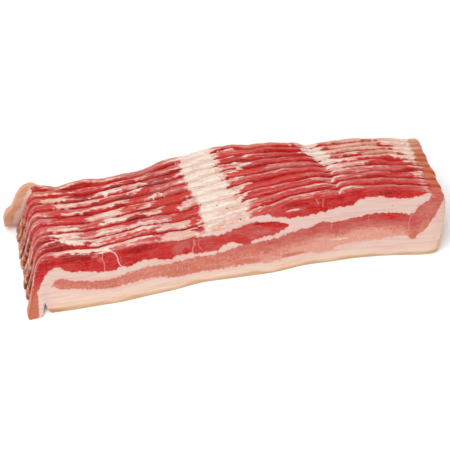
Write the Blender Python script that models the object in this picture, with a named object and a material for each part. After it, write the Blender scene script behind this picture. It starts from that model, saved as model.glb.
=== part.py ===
"""Ten thick raw streaky rashers, still in the order in which they were cut.

The rashers stand side by side on their rind edges and lean back on each other, so that the
pile keeps the long shape of the piece of belly. X runs along the rashers, Y from the front
rasher to the back one, and Z up. Lengths here are in millimetres; the meshes are in metres.
The origin is on the table, under the middle of the pile.
"""

import math

import bmesh
import bpy
import numpy as np

MM = 0.001

# ---- the pile ----
SLICE_COUNT = 10
AIR_GAP = 0.45              # left between two rashers, measured square to their faces
PILE_SHIFT = (2.36, 1.895)  # moves the pile so that its box is centred on the origin
LEFT_SHIFT = -0.18          # each rasher's hook is this much further along X than the one before
RIGHT_SHIFT = -0.45         # and so is its right end
END_JITTER = 0.5            # how far a rasher's place along X may differ from that rule
SEED = 7

# Stations along the pile, as (x, value) pairs. A smooth line runs through each list.
RIND_LINE = (               # where the front rasher's rind touches the table, y
    (-104, -39.0), (-60, -38.6), (-22, -35.3), (15, -35.7), (50, -34.4), (80, -36.2),
    (104, -39.3), (118, -39.8))
PITCH = (                   # from one rasher's face to the next one's, along y
    (-104, 5.1), (-48, 4.95), (-26, 5.45), (6, 5.3), (30, 4.4), (55, 3.6), (80, 3.65),
    (118, 3.9))
THINNING = (                # how much thinner each rasher is than the one before it
    (-104, 0.044), (0, 0.05), (118, 0.075))
LEAN = (                    # degrees between a rasher's face and the table
    (-110, 55.0), (-60, 54.0), (0, 52.5), (60, 60.0), (110, 62.0))
SLICE_WIDTH = (             # from the rind up the face to the top edge
    (-104, 32.3), (-78, 31.2), (-50, 32.0), (-24, 28.7), (4, 33.2), (32, 39.7), (70, 43.2),
    (100, 42.0), (118, 39.0))

# ---- one rasher ----
BODY_LEFT = -103.3          # the rind's left end
BODY_RIGHT = 111.2          # the rind's right end
END_RIGHT = 118.4           # furthest right, two thirds of the way up the face
TOP_RIGHT = 114.6           # where the top edge turns down into the right end
TOP_LEFT = -98.0            # where the top edge turns down into the hook
EDGE_DROP = 1.4             # the top edge's rear side lies this much lower than its front
EDGE_CROWN = 0.5            # how far the edges bulge between the two faces
EDGE_WAVE = 0.45            # uneven cutting of the top edge
FACE_WAVE = 0.28            # unevenness of the faces, across the rasher
SEAM_X = (61.0, 53.0)       # a fold in the top edge, on the front and on the back rasher
SEAM_DEPTH = 1.1
SEAM_HALF_WIDTH = 3.0

# The hook: the lean layer runs on past the rind and hangs down over the left end. Points are
# (x, distance up the face), from the top edge round the tip to the rind's left end.
HOOK_OUTER = ((-102.4, 31.8), (-105.4, 29.4), (-107.7, 25.2), (-109.4, 20.5), (-111.2, 14.8),
              (-113.3, 8.6), (-115.4, 2.6))
HOOK_TIP = ((-116.1, 0.0), (-108.4, 0.0))
FRONT_NOTCH = ((-107.6, 2.6), (-106.9, 5.2), (-106.1, 7.4), (-105.4, 5.4), (-104.8, 3.0))
INNER_NOTCH = ((-108.6, 2.6), (-107.6, 7.0), (-106.5, 11.0), (-105.0, 13.4), (-101.5, 11.0),
               (-102.2, 7.0), (-101.9, 3.2))
BACK_HOOK = ((-103.4, 34.7), (-108.2, 32.9), (-111.6, 29.2), (-114.0, 25.3), (-116.3, 21.2),
             (-118.9, 19.0), (-120.6, 15.5), (-121.9, 4.5), (-115.4, 1.8))
BACK_NOTCH = ((-113.0, 8.0), (-109.6, 14.5), (-106.0, 18.0), (-103.0, 14.0), (-102.2, 7.0),
              (-101.9, 3.2))
INNER_BODY_LEFT = -100.6    # the rind's left end, behind the front rasher
NOTCH_CROWN = 0.12          # the edges bulge less in the notch
NOTCH_X = (-108.8, -101.5)
NOTCH_TOP = 14.0
RIGHT_END = ((113.9, 2.4), (115.2, 7.0), (116.6, 13.5), (117.7, 20.0))
RIGHT_CORNER = (            # (short of END_RIGHT, below the top edge), from there on up
    (0.0, 9.0), (0.6, 3.0), (1.8, 0.75))

# How the hooks fan out on the table: the front one comes forward, the others hang ever more
# upright, and the back one stands clear of the pile.
HOOK_FORWARD = -1.8
HOOK_FAN_START = 3.0
HOOK_FAN_STEP = 1.05
HOOK_BEND_X = (-103.6, -109.4)   # the bend runs from the first value to the second
HOOK_BEND_TOP = 26.0
HOOK_BEND_POWER = 1.5
TOP_BUMPS = {               # rashers whose top edge stands out: (height, x, half width)
    1: ((1.8, -90.5, 8.0),),
    9: ((2.0, -104.0, 5.0), (-1.6, -88.5, 4.5), (2.6, -74.0, 10.0), (1.8, -29.0, 6.0))}

# ---- mesh ----
GRID_X = 5.3                # rows of edges across each rasher
HOOK_GRID_X = (-104.2, -106.2, -108.2)   # more rows where the hooks bend
GRID_V = (7.8, 15.6, 23.4)  # rows of edges along it
SNAP = 0.9                  # an outline point this close to a row of edges counts as on it
WELD = 0.001
FACING = 0.9                # a face turned further than this towards a side belongs to it

# ---- finish ----
FRONT_COLOUR = (0.60, 0.17, 0.13)
BACK_COLOUR = (0.62, 0.27, 0.17)
MEAT_ROUGHNESS = 0.42


def remove_everything() -> None:
    """Empty the scene."""
    for item in list(bpy.data.objects):
        bpy.data.objects.remove(item, do_unlink=True)


def smooth_step(value, start, end):
    """Return 0 before start and 1 after end, with a smooth turn between them."""
    share = np.clip((value - start) / (end - start), 0.0, 1.0)
    return share * share * (3.0 - 2.0 * share)


def along(stations, x):
    """Return the value at x on a smooth line through the (x, value) stations."""
    places, values = (np.array(column, dtype=float) for column in zip(*stations))
    slopes = np.gradient(values, places)
    index = np.clip(np.searchsorted(places, x) - 1, 0, len(places) - 2)
    span = places[index + 1] - places[index]
    t = np.clip((x - places[index]) / span, 0.0, 1.0)
    rise = t * t * (3.0 - 2.0 * t)
    return ((1.0 - rise) * values[index] + rise * values[index + 1]
            + span * t * (1.0 - t) * ((1.0 - t) * slopes[index] - t * slopes[index + 1]))


def wave(x, number, kind, lengths=(61.0, 33.0, 17.0)):
    """Return a gentle seeded wave along x, between about -1 and 1."""
    phases = np.random.default_rng((SEED, kind, number)).uniform(0.0, 2.0 * math.pi, len(lengths))
    parts = [math.sin(2.0 * math.pi * x / length + phase)
             for length, phase in zip(lengths, phases)]
    return sum(parts) / len(parts) ** 0.5


def slide(number: int) -> tuple:
    """Return the scale and offset that take a rasher's own x to its x in the pile."""
    jitter = np.random.default_rng((SEED, number)).uniform(-END_JITTER, END_JITTER)
    stretch = number * (RIGHT_SHIFT - LEFT_SHIFT) / (END_RIGHT - HOOK_TIP[0][0])
    left = number * LEFT_SHIFT + (jitter if number else 0.0)
    return 1.0 + stretch, left - stretch * HOOK_TIP[0][0]


def top_edge(x: float, number: int) -> float:
    """Return the rasher's width at x, with its uneven cut and the fold in its top edge."""
    share = number / (SLICE_COUNT - 1)
    seam_x = SEAM_X[0] + (SEAM_X[1] - SEAM_X[0]) * share
    seam = SEAM_DEPTH * math.exp(-((x - seam_x) / SEAM_HALF_WIDTH) ** 2)
    return float(along(SLICE_WIDTH, x)) + EDGE_WAVE * wave(x, number, 1) - seam


def face_line(x: float, face: int) -> float:
    """Return the y at which cut number face, between two rashers, meets the table."""
    uneven = FACE_WAVE * wave(x, face, 2, lengths=(83.0, 47.0, 29.0))
    spread = face + float(along(THINNING, x)) * face * (SLICE_COUNT - face) / 2.0
    return float(along(RIND_LINE, x)) + spread * float(along(PITCH, x)) + uneven


def hook_fan(number: int) -> float:
    """Return how far back the hook's tip stands from its place in the rasher's face."""
    if number == 0:
        return HOOK_FORWARD
    return HOOK_FAN_START + HOOK_FAN_STEP * number


def bumps(x: float, number: int) -> float:
    """Return how much higher this rasher's top edge is at x than its neighbours'."""
    return sum(height * math.exp(-((x - middle) / half_width) ** 2)
               for height, middle, half_width in TOP_BUMPS.get(number, ()))


def slice_outline(number: int) -> list:
    """Return the outline of one rasher, flat, as (x, distance up the face) points."""
    rind = [(INNER_BODY_LEFT if number else BODY_LEFT, 0.0), (BODY_RIGHT, 0.0)]
    hook = HOOK_OUTER + HOOK_TIP + (INNER_NOTCH if number else FRONT_NOTCH)
    if number == SLICE_COUNT - 1:
        hook = BACK_HOOK + BACK_NOTCH
    corner = top_edge(TOP_RIGHT, number)
    right = list(RIGHT_END)
    right += [(END_RIGHT - short, corner - below) for short, below in RIGHT_CORNER]
    scale, offset = slide(number)
    top = []
    for row in reversed(np.arange(TOP_LEFT, TOP_RIGHT, GRID_X)):
        x = float((row - offset) / scale)
        top.append((x, top_edge(x, number) + bumps(x, number)))
    return rind + right + top + list(hook)


def flat_slice(name: str, outline: list) -> bpy.types.Mesh:
    """Return a flat plate with this outline: x along, y up the face, z from front (0) to
    back (1)."""
    curve = bpy.data.curves.new(name + "_outline", "CURVE")
    curve.dimensions = "2D"
    curve.fill_mode = "BOTH"
    curve.extrude = 0.5
    spline = curve.splines.new("POLY")
    spline.points.add(len(outline) - 1)
    for point, (x, v) in zip(spline.points, outline):
        point.co = (x, v, 0.5, 1.0)
    spline.use_cyclic_u = True
    holder = bpy.data.objects.new(name + "_outline", curve)
    bpy.context.scene.collection.objects.link(holder)
    depsgraph = bpy.context.evaluated_depsgraph_get()
    mesh = bpy.data.meshes.new_from_object(holder.evaluated_get(depsgraph))
    bpy.data.objects.remove(holder, do_unlink=True)
    bpy.data.curves.remove(curve)
    mesh.name = name
    return mesh


def cut_rows(solid: bmesh.types.BMesh, number: int) -> None:
    """Weld the plate and cut rows of edges into it, at the same places in every rasher, so
    that neighbours bend alike."""
    bmesh.ops.remove_doubles(solid, verts=solid.verts, dist=WELD)
    for side in (1.0, -1.0):
        cap = [face for face in solid.faces if face.normal.z * side > FACING]
        bmesh.ops.dissolve_faces(solid, faces=cap)
    lowest = min(vertex.co.z for vertex in solid.verts)
    for vertex in solid.verts:
        vertex.co.z -= lowest
    scale, offset = slide(number)
    rows = [*np.arange(TOP_LEFT, END_RIGHT, GRID_X), *HOOK_GRID_X]
    planes = [(((row - offset) / scale, 0, 0), (1, 0, 0)) for row in rows]
    planes += [((0, v, 0), (0, 1, 0)) for v in GRID_V]
    for place, normal in planes:
        geometry = solid.verts[:] + solid.edges[:] + solid.faces[:]
        bmesh.ops.bisect_plane(solid, geom=geometry, dist=SNAP, plane_co=place, plane_no=normal)
    geometry = solid.verts[:] + solid.edges[:] + solid.faces[:]
    bmesh.ops.bisect_plane(solid, geom=geometry, dist=WELD, plane_co=(0, 0, 0.5),
                           plane_no=(0, 0, 1))


def crown_edges(solid: bmesh.types.BMesh) -> None:
    """Push the middle of the plate's edges outwards, but for the foot that stands on the
    table."""
    solid.normal_update()
    middle = [vertex for vertex in solid.verts if abs(vertex.co.z - 0.5) < WELD]
    moves = [(vertex, vertex.normal.copy()) for vertex in middle if vertex.co.y > WELD]
    for vertex, normal in moves:
        in_notch = NOTCH_X[0] < vertex.co.x < NOTCH_X[1] and vertex.co.y < NOTCH_TOP
        crown = NOTCH_CROWN if in_notch else EDGE_CROWN
        vertex.co.x += crown * normal.x
        vertex.co.y += crown * normal.y


def place_point(x: float, v: float, depth: float, number: int) -> tuple:
    """Return where a point of a rasher lies in the pile.

    Args:
        x: place along the rasher.
        v: distance up its face from the rind.
        depth: 0 on its front face and 1 on its back face.
        number: the rasher, 0 in front.
    """
    scale, offset = slide(number)
    x_pile = scale * x + offset
    lean = math.radians(float(along(LEAN, x_pile)))
    top = max(float(along(SLICE_WIDTH, x_pile)), 1.0)
    z = v * math.sin(lean) * (1.0 - depth * EDGE_DROP / (top * math.sin(lean)))
    front = face_line(x_pile, number)
    back = face_line(x_pile, number + 1) - AIR_GAP / math.sin(lean)
    bend = smooth_step(x_pile, *HOOK_BEND_X)
    droop = max(1.0 - v / HOOK_BEND_TOP, 0.0) ** HOOK_BEND_POWER
    y = front + (back - front) * depth + z / math.tan(lean) + hook_fan(number) * bend * droop
    return (x_pile + PILE_SHIFT[0], y + PILE_SHIFT[1], z)


def meat_material(name: str, number: int) -> bpy.types.Material:
    """Return the raw meat's finish, from the front rasher's pink to the back one's tan."""
    share = number / (SLICE_COUNT - 1)
    colour = [a + (b - a) * share for a, b in zip(FRONT_COLOUR, BACK_COLOUR)]
    material = bpy.data.materials.new(name)
    material.use_nodes = True
    shader = material.node_tree.nodes["Principled BSDF"]
    shader.inputs["Base Color"].default_value = (*colour, 1.0)
    shader.inputs["Roughness"].default_value = MEAT_ROUGHNESS
    shader.inputs["Metallic"].default_value = 0.0
    return material


def make_slice(number: int, collection: bpy.types.Collection) -> bpy.types.Object:
    """Build one rasher in its place in the pile."""
    name = f"slice_{number + 1:02d}"
    mesh = flat_slice(name, slice_outline(number))
    solid = bmesh.new()
    solid.from_mesh(mesh)
    cut_rows(solid, number)
    crown_edges(solid)
    bmesh.ops.triangulate(solid, faces=solid.faces[:], quad_method="FIXED", ngon_method="BEAUTY")
    for vertex in solid.verts:
        place = place_point(vertex.co.x, vertex.co.y, vertex.co.z, number)
        vertex.co = [MM * value for value in place]
    bmesh.ops.reverse_faces(solid, faces=solid.faces[:])
    solid.to_mesh(mesh)
    solid.free()
    mesh.materials.clear()
    mesh.materials.append(meat_material(name + "_meat", number))
    rasher = bpy.data.objects.new(name, mesh)
    collection.objects.link(rasher)
    return rasher


def main() -> None:
    """Build the pile."""
    remove_everything()
    collection = bpy.data.collections.new("streaky_bacon")
    bpy.context.scene.collection.children.link(collection)
    for number in range(SLICE_COUNT):
        make_slice(number, collection)


main()
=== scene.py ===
"""The looks of ten thick raw streaky rashers that still lie in slab order.

Each rasher's plain solid is replaced by a fine mesh of the same form. The mesh carries the
layers of lean and fat as smooth fields, distances in millimetres among them, and a Geometry
Nodes tree turns them into relief. Lengths are in millimetres up to PileForm.place, which gives
metres in the shared frame.
"""

from __future__ import annotations

import logging
import math
from dataclasses import dataclass, field
from enum import Enum

import bpy
import numpy as np
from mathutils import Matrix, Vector

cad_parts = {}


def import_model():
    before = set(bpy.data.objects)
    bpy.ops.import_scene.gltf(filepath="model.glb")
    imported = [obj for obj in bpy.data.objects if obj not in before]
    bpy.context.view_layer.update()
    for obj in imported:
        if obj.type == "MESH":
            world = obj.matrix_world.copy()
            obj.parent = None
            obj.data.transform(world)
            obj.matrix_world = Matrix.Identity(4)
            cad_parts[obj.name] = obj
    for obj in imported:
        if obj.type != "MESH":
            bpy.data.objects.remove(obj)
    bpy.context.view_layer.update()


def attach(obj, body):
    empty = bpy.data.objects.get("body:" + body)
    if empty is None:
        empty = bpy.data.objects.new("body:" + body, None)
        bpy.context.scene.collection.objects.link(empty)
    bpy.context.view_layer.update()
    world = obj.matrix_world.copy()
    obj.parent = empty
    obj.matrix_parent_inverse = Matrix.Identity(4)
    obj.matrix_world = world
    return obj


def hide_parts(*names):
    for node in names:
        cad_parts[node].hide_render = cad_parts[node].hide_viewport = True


LOG = logging.getLogger("rashers")
MM = 0.001
BODY = "root"

Array = np.ndarray
Pair = tuple[float, float]
Stations = tuple[Pair, ...]
Triple = tuple[float, float, float]
Colour = tuple[float, float, float, float]
Stops = tuple[tuple[float, Colour], ...]
Socket = bpy.types.NodeSocket


def smooth_step(value: Array | float, start: float, end: float) -> Array:
    """Turn smoothly from 0 at start to 1 at end.

    Args:
        value: the value or values to look at.
        start: where the turn begins; it may lie above end.
        end: where the turn is complete.

    Returns:
        The share of the turn, from 0 to 1.
    """
    share = np.clip((np.asarray(value, dtype=float) - start) / (end - start), 0.0, 1.0)
    return share * share * (3.0 - 2.0 * share)


def paint(red: int, green: int, blue: int) -> Colour:
    """Turn a colour as a screen shows it, 0 to 255, into the linear one that shaders take.

    Args:
        red: red, 0 to 255.
        green: green, 0 to 255.
        blue: blue, 0 to 255.

    Returns:
        Linear red, green and blue, and an alpha of 1.
    """
    shares = [value / 255.0 for value in (red, green, blue)]
    linear = [s / 12.92 if s <= 0.04045 else ((s + 0.055) / 1.055) ** 2.4 for s in shares]
    return (linear[0], linear[1], linear[2], 1.0)


# ---------------------------------------------------------------------------- lines and form


@dataclass(frozen=True)
class SmoothLine:
    """A smooth line through (place, value) stations, level beyond its ends."""

    stations: Stations

    def at(self, place: Array | float) -> Array:
        """Return the line's value at each place.

        Args:
            place: where to read the line.

        Returns:
            The values, in the shape of place.
        """
        places, values = (np.array(column, dtype=float) for column in zip(*self.stations))
        slopes = np.gradient(values, places)
        place = np.asarray(place, dtype=float)
        index = np.clip(np.searchsorted(places, place) - 1, 0, len(places) - 2)
        span = places[index + 1] - places[index]
        t = np.clip((place - places[index]) / span, 0.0, 1.0)
        rise = t * t * (3.0 - 2.0 * t)
        bend = (1.0 - t) * slopes[index] - t * slopes[index + 1]
        return (1.0 - rise) * values[index] + rise * values[index + 1] + span * t * (1.0 - t) * bend

    def above(self, place: Array, value: Array, reach: float = 0.4) -> Array:
        """Return how far points lie above the line, measured square to it.

        Args:
            place: the points' places along the line.
            value: their heights.
            reach: half the stretch over which the line's slope is taken.

        Returns:
            The distances, negative below the line.
        """
        slope = (self.at(place + reach) - self.at(place - reach)) / (2.0 * reach)
        return (value - self.at(place)) / np.sqrt(1.0 + slope * slope)


@dataclass(frozen=True)
class Trail:
    """A smooth path through points of a rasher's own plane."""

    points: Stations

    def at(self, share: Array) -> Array:
        """Return points along the path.

        Args:
            share: how far along, from 0 to 1.

        Returns:
            One (x, v) row for each share.
        """
        points = np.array(self.points, dtype=float)
        steps = np.hypot(*np.diff(points, axis=0).T)
        reach = np.concatenate([[0.0], np.cumsum(steps)]) / steps.sum()
        columns = [SmoothLine(tuple(zip(reach, column))).at(share) for column in points.T]
        return np.stack(columns, axis=-1)


@dataclass(frozen=True)
class Wave:
    """A gentle seeded wave along a rasher or a cut.

    Attributes:
        kind: tells one use of the waves from another.
        height: how high it is, about.
        lengths: its wave lengths.
    """

    kind: int
    height: float
    lengths: tuple[float, ...]


@dataclass(frozen=True)
class PileForm:
    """How the rashers stand in the pile: the solids' rules, with the finer waves of soft meat.

    Neighbours cling together, so the gap between two rashers is smaller than the solids'.
    """

    count: int = 10
    seed: int = 7
    face_gap: float = 0.12
    pile_shift: Pair = (2.36, 1.895)
    left_shift: float = -0.18
    right_shift: float = -0.45
    end_jitter: float = 0.5
    hook_tip_x: float = -116.1
    end_right: float = 118.4
    edge_drop: float = 1.4
    edge_wave: Wave = Wave(1, 0.3, (61.0, 33.0, 17.0))
    face_wave: Wave = Wave(2, 0.28, (83.0, 47.0, 29.0))
    lip_wave: Wave = Wave(3, 0.13, (41.0, 23.0, 12.0))
    lip_rise: Pair = (0.6, 0.95)
    seam_x: Pair = (61.0, 53.0)
    seam_depth: float = 1.1
    seam_half_width: float = 3.0
    hook_forward: float = -1.8
    hook_fan_start: float = 3.0
    hook_fan_step: float = 1.05
    hook_bend_x: Pair = (-103.6, -109.4)
    hook_bend_top: float = 26.0
    hook_bend_power: float = 1.5
    foot_round: float = 0.5
    rind_line: SmoothLine = SmoothLine((
        (-104, -39.0), (-60, -38.6), (-22, -35.3), (15, -35.7), (50, -34.4), (80, -36.2),
        (104, -39.3), (118, -39.8)))
    pitch: SmoothLine = SmoothLine((
        (-104, 5.1), (-48, 4.95), (-26, 5.45), (6, 5.3), (30, 4.4), (55, 3.6), (80, 3.65),
        (118, 3.9)))
    thinning: SmoothLine = SmoothLine(((-104, 0.044), (0, 0.05), (118, 0.075)))
    lean: SmoothLine = SmoothLine((
        (-110, 55.0), (-60, 54.0), (0, 52.5), (60, 60.0), (110, 62.0)))
    width: SmoothLine = SmoothLine((
        (-104, 32.3), (-78, 31.2), (-50, 32.0), (-24, 28.7), (4, 33.2), (32, 39.7),
        (70, 43.2), (100, 42.0), (118, 39.0)))
    bumps: tuple[tuple[int, float, float, float], ...] = (
        (1, 1.8, -90.5, 8.0), (9, 2.0, -104.0, 5.0), (9, -1.6, -88.5, 4.5),
        (9, 2.6, -74.0, 10.0), (9, 1.8, -29.0, 6.0))

    def ripple(self, wave: Wave, x: Array, number: int) -> Array:
        """Return the height of a wave.

        Args:
            wave: the wave.
            x: where to read it.
            number: the rasher or cut that it belongs to.

        Returns:
            The height at each x.
        """
        turn = 2.0 * math.pi
        random = np.random.default_rng((self.seed, wave.kind, number))
        phases = random.uniform(0.0, turn, len(wave.lengths))
        parts = [np.sin(turn * np.asarray(x) / length + phase)
                 for length, phase in zip(wave.lengths, phases)]
        return wave.height * (sum(parts) / len(parts) ** 0.5)

    def slide(self, number: int) -> Pair:
        """Return how a rasher slid along the pile.

        Args:
            number: the rasher, 0 in front.

        Returns:
            The scale and the offset from the rasher's own x to its x in the pile.
        """
        random = np.random.default_rng((self.seed, number))
        jitter = random.uniform(-self.end_jitter, self.end_jitter)
        stretch = (number * (self.right_shift - self.left_shift)
                   / (self.end_right - self.hook_tip_x))
        left = number * self.left_shift + (jitter if number else 0.0)
        return 1.0 + stretch, left - stretch * self.hook_tip_x

    def top_edge(self, x: Array, number: int) -> Array:
        """Return a rasher's width at x.

        Args:
            x: places along the rasher.
            number: the rasher, 0 in front.

        Returns:
            The distance from the rind to the top edge.
        """
        share = number / (self.count - 1)
        seam_x = self.seam_x[0] + (self.seam_x[1] - self.seam_x[0]) * share
        seam = self.seam_depth * np.exp(-((x - seam_x) / self.seam_half_width) ** 2)
        bumps = sum(height * np.exp(-((x - middle) / half_width) ** 2)
                    for owner, height, middle, half_width in self.bumps if owner == number)
        return self.width.at(x) + self.ripple(self.edge_wave, x, number) - seam + bumps

    def face_line(self, x: Array, face: int) -> Array:
        """Return where a cut meets the table.

        Args:
            x: places along the pile.
            face: the cut; rasher number n lies between cuts n and n + 1.

        Returns:
            The cut's y at each x.
        """
        spread = face + self.thinning.at(x) * face * (self.count - face) / 2.0
        return (self.rind_line.at(x) + spread * self.pitch.at(x)
                + self.ripple(self.face_wave, x, face))

    def lip(self, x: Array, rise: Array, face: int) -> Array:
        """Return how far a cut wanders in y near the top edges.

        Args:
            x: places along the pile.
            rise: the share of the rasher's width that lies below, 0 to 1.
            face: the cut.

        Returns:
            The wander, the same for both rashers that meet at the cut.
        """
        return self.ripple(self.lip_wave, x, face) * smooth_step(rise, *self.lip_rise)

    def thickness(self, x: Array, number: int) -> Array:
        """Return the distance along y between a rasher's two faces."""
        return self.face_line(x, number + 1) - self.face_line(x, number)

    def place(self, x: Array, v: Array, depth: Array, number: int) -> Array:
        """Return where points of a rasher lie in the shared frame.

        Args:
            x: places along the rasher.
            v: distances up its face from the rind.
            depth: 0 on its front face and 1 on its back face.
            number: the rasher, 0 in front.

        Returns:
            One row of x, y and z in metres for each point.
        """
        scale, offset = self.slide(number)
        x_pile = scale * x + offset
        lean = np.radians(self.lean.at(x_pile))
        width = np.maximum(self.width.at(x_pile), 1.0)
        foot = np.clip(self.foot_round - v, 0.0, self.foot_round)
        inset = self.foot_round - np.sqrt(self.foot_round ** 2 - foot ** 2)
        share = inset / self.thickness(x_pile, number)
        depth = share + depth * (1.0 - 2.0 * share)
        z = v * np.sin(lean) * (1.0 - depth * self.edge_drop / (width * np.sin(lean)))
        front = self.face_line(x_pile, number) + self.lip(x_pile, v / width, number)
        back = self.face_line(x_pile, number + 1) + self.lip(x_pile, v / width, number + 1)
        back = back - self.face_gap / np.sin(lean)
        bend = smooth_step(x_pile, *self.hook_bend_x)
        droop = np.maximum(1.0 - v / self.hook_bend_top, 0.0) ** self.hook_bend_power
        fan = self.hook_fan_start + self.hook_fan_step * number if number else self.hook_forward
        y = front + (back - front) * depth + z / np.tan(lean) + fan * bend * droop
        return MM * np.stack([x_pile + self.pile_shift[0], y + self.pile_shift[1], z], axis=-1)


@dataclass(frozen=True)
class HookShape:
    """The left end of a rasher: the lean hook, and the notch between it and the rind.

    Attributes:
        outer: the hook's outer side, from its tip up to the rasher's corner.
        inner: the hook's inner side, from its tip up to the root of the notch.
        rind: the rind's end, from the foot up to the root of the notch.
        corner: the points of the top edge from the corner to where its rule begins.
    """

    outer: Stations
    inner: Stations
    rind: Stations
    corner: Stations


class HookKind(Enum):
    """The three kinds of hook in the pile."""

    FRONT = HookShape(
        outer=((-114.6, 0.0), (-115.7, 0.6), (-115.9, 1.6), (-115.2, 3.6), (-113.3, 8.6),
               (-111.2, 14.8), (-109.4, 20.5), (-107.7, 25.2), (-105.8, 28.7), (-104.3, 30.4)),
        inner=((-109.6, 0.0), (-108.5, 0.5), (-107.6, 2.8), (-106.9, 5.2), (-106.1, 7.4)),
        rind=((-102.8, 0.0), (-103.8, 0.9), (-104.8, 3.0), (-105.4, 5.4), (-106.1, 7.4)),
        corner=((-104.3, 30.4), (-102.4, 31.6)))
    INNER = HookShape(
        outer=FRONT.outer,
        inner=((-108.4, 0.0), (-107.6, 7.0), (-106.5, 11.0), (-105.0, 13.4)),
        rind=((-100.6, 0.0), (-101.9, 3.2), (-102.2, 7.0), (-102.6, 11.0), (-105.0, 13.4)),
        corner=FRONT.corner)
    BACK = HookShape(
        outer=((-121.9, 4.5), (-120.6, 15.5), (-118.9, 19.0), (-116.3, 21.2), (-114.0, 25.3),
               (-111.6, 29.2), (-108.6, 32.4), (-106.5, 33.6)),
        inner=((-115.4, 1.8), (-113.0, 8.0), (-109.6, 14.5), (-106.0, 18.0)),
        rind=((-100.6, 0.0), (-101.9, 3.2), (-102.2, 7.0), (-103.0, 14.0), (-106.0, 18.0)),
        corner=((-106.5, 33.6), (-103.4, 34.4)))


@dataclass
class RasherGrid:
    """The fine mesh of one rasher, in its own plane.

    Two blocks of rows and columns, the hook and the body, join above the notch. They make the
    front and the back face, and a crowned band runs round the edge between them.
    """

    form: PileForm
    number: int
    lower_rows: int
    body_columns: int = 372
    hook_columns: int = 12
    band_steps: int = 9
    join_x: float = -99.0
    top_rule: Pair = (-98.0, 114.0)
    top_spacing: float = 2.0
    top_inset: float = 0.3
    top_crown: SmoothLine = SmoothLine((
        (-120, 0.55), (-20, 0.55), (-5, 0.5), (10, 0.42), (30, 0.42), (50, 0.45), (65, 0.55),
        (118, 0.55)))
    side_crown: float = 0.5
    notch_crown: float = 0.12
    end_crown: float = 0.16
    square_end: Pair = (111.5, 108.5)
    upward: Pair = (0.2, 0.8)
    foot_fade: Pair = (0.1, 2.0)
    crown_power: float = 2.6
    corner_x: float = 114.6
    fine_wave: Wave = Wave(4, 0.1, (11.0, 7.0, 4.6))
    upper_rows: tuple[float, ...] = (3.4, 2.7, 2.1, 1.6, 1.15, 0.75, 0.4, 0.0)
    right_end: Stations = ((111.2, 0.0), (113.9, 2.4), (115.2, 7.0), (116.6, 13.5),
                           (117.7, 20.0))
    right_corner: Stations = ((0.0, 9.0), (0.6, 3.0), (0.9, 2.3))
    corner_stations: Stations = ((1.8, 1.05), (0.9, 2.3))
    place: Array = field(init=False)
    quads: Array = field(init=False)

    def __post_init__(self) -> None:
        """Work out the points and faces."""
        hook = self.hook_kind().value
        top = self.top_line(hook)
        rows, root = self.row_shares(hook)
        join = Trail((hook.inner[-1], (self.join_x, float(top.at(self.join_x)))))
        above = (rows[root:] - rows[root]) / (1.0 - rows[root])
        below = rows[:root] / rows[root]
        inner = np.concatenate([Trail(hook.inner).at(below), join.at(above)])
        rind = np.concatenate([Trail(hook.rind).at(below), join.at(above)])
        outer = Trail(hook.outer).at(rows)
        right = Trail(self.right_trail(top)).at(rows)
        hook_block = self.block(outer, inner, top, rows, self.hook_columns)
        body_block = self.block(rind, right, top, rows, self.body_columns)
        self.weave(hook_block, body_block, root)

    def hook_kind(self) -> HookKind:
        """Return the kind of hook that this rasher has."""
        if self.number == 0:
            return HookKind.FRONT
        return HookKind.BACK if self.number == self.form.count - 1 else HookKind.INNER

    def corner_height(self) -> float:
        """Return the width from which the right corner is measured down."""
        return float(self.form.top_edge(np.array(self.corner_x), self.number))

    def top_line(self, hook: HookShape) -> SmoothLine:
        """Return the top edge of the face, a little below that of the crowned band.

        Args:
            hook: the form of the rasher's left end.

        Returns:
            The edge's height over x.
        """
        x = np.arange(self.top_rule[0], self.top_rule[1] + self.top_spacing, self.top_spacing)
        v = self.form.top_edge(x, self.number) - self.top_inset
        v = v + self.form.ripple(self.fine_wave, x, self.number)
        height = self.corner_height()
        corner = [(self.form.end_right - short, height - drop)
                  for short, drop in self.corner_stations]
        return SmoothLine((*hook.corner, *zip(x, v), *corner))

    def right_trail(self, top: SmoothLine) -> Stations:
        """Return the right end, from the foot up to the corner of the top edge.

        Args:
            top: the top edge.

        Returns:
            The end's points.
        """
        height = self.corner_height()
        corner = [(self.form.end_right - short, height - drop)
                  for short, drop in self.right_corner]
        return (*self.right_end, *corner[:-1], top.stations[-1])

    def row_shares(self, hook: HookShape) -> tuple[Array, int]:
        """Return how the mesh's rows lie.

        Args:
            hook: the form of the rasher's left end.

        Returns:
            The rows' places from foot to top, 0 to 1, and which one meets the notch.
        """
        width = hook.corner[0][1]
        upper = 1.0 - np.array(self.upper_rows) / width
        lower = np.linspace(0.0, upper[0], self.lower_rows, endpoint=False)
        rows = np.concatenate([lower, upper])
        root_share = hook.inner[-1][1] / width
        root = int(np.argmin(np.abs(rows - root_share)))
        rows[root] = root_share
        return rows, root

    def block(self, left: Array, right: Array, top: SmoothLine, rows: Array,
              columns: int) -> Array:
        """Fill the space between four sides with rows and columns.

        Args:
            left: the left side's points, one for each row.
            right: the right side's points, one for each row.
            top: the top edge.
            rows: the rows' places from foot to top, 0 to 1.
            columns: how many columns to make.

        Returns:
            Points by column and row.
        """
        u = np.linspace(0.0, 1.0, columns + 1)[:, None, None]
        t = rows[None, :, None]
        foot = left[0] * (1.0 - u) + right[0] * u
        top_x = left[-1, 0] * (1.0 - u[..., 0]) + right[-1, 0] * u[..., 0]
        head = np.stack([top_x, top.at(top_x)], axis=-1)
        sides = (1.0 - u) * left[None] + u * right[None]
        ends = (1.0 - t) * foot + t * head
        corners = ((1.0 - u) * ((1.0 - t) * left[0] + t * left[-1])
                   + u * ((1.0 - t) * right[0] + t * right[-1]))
        return sides + ends - corners

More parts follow.
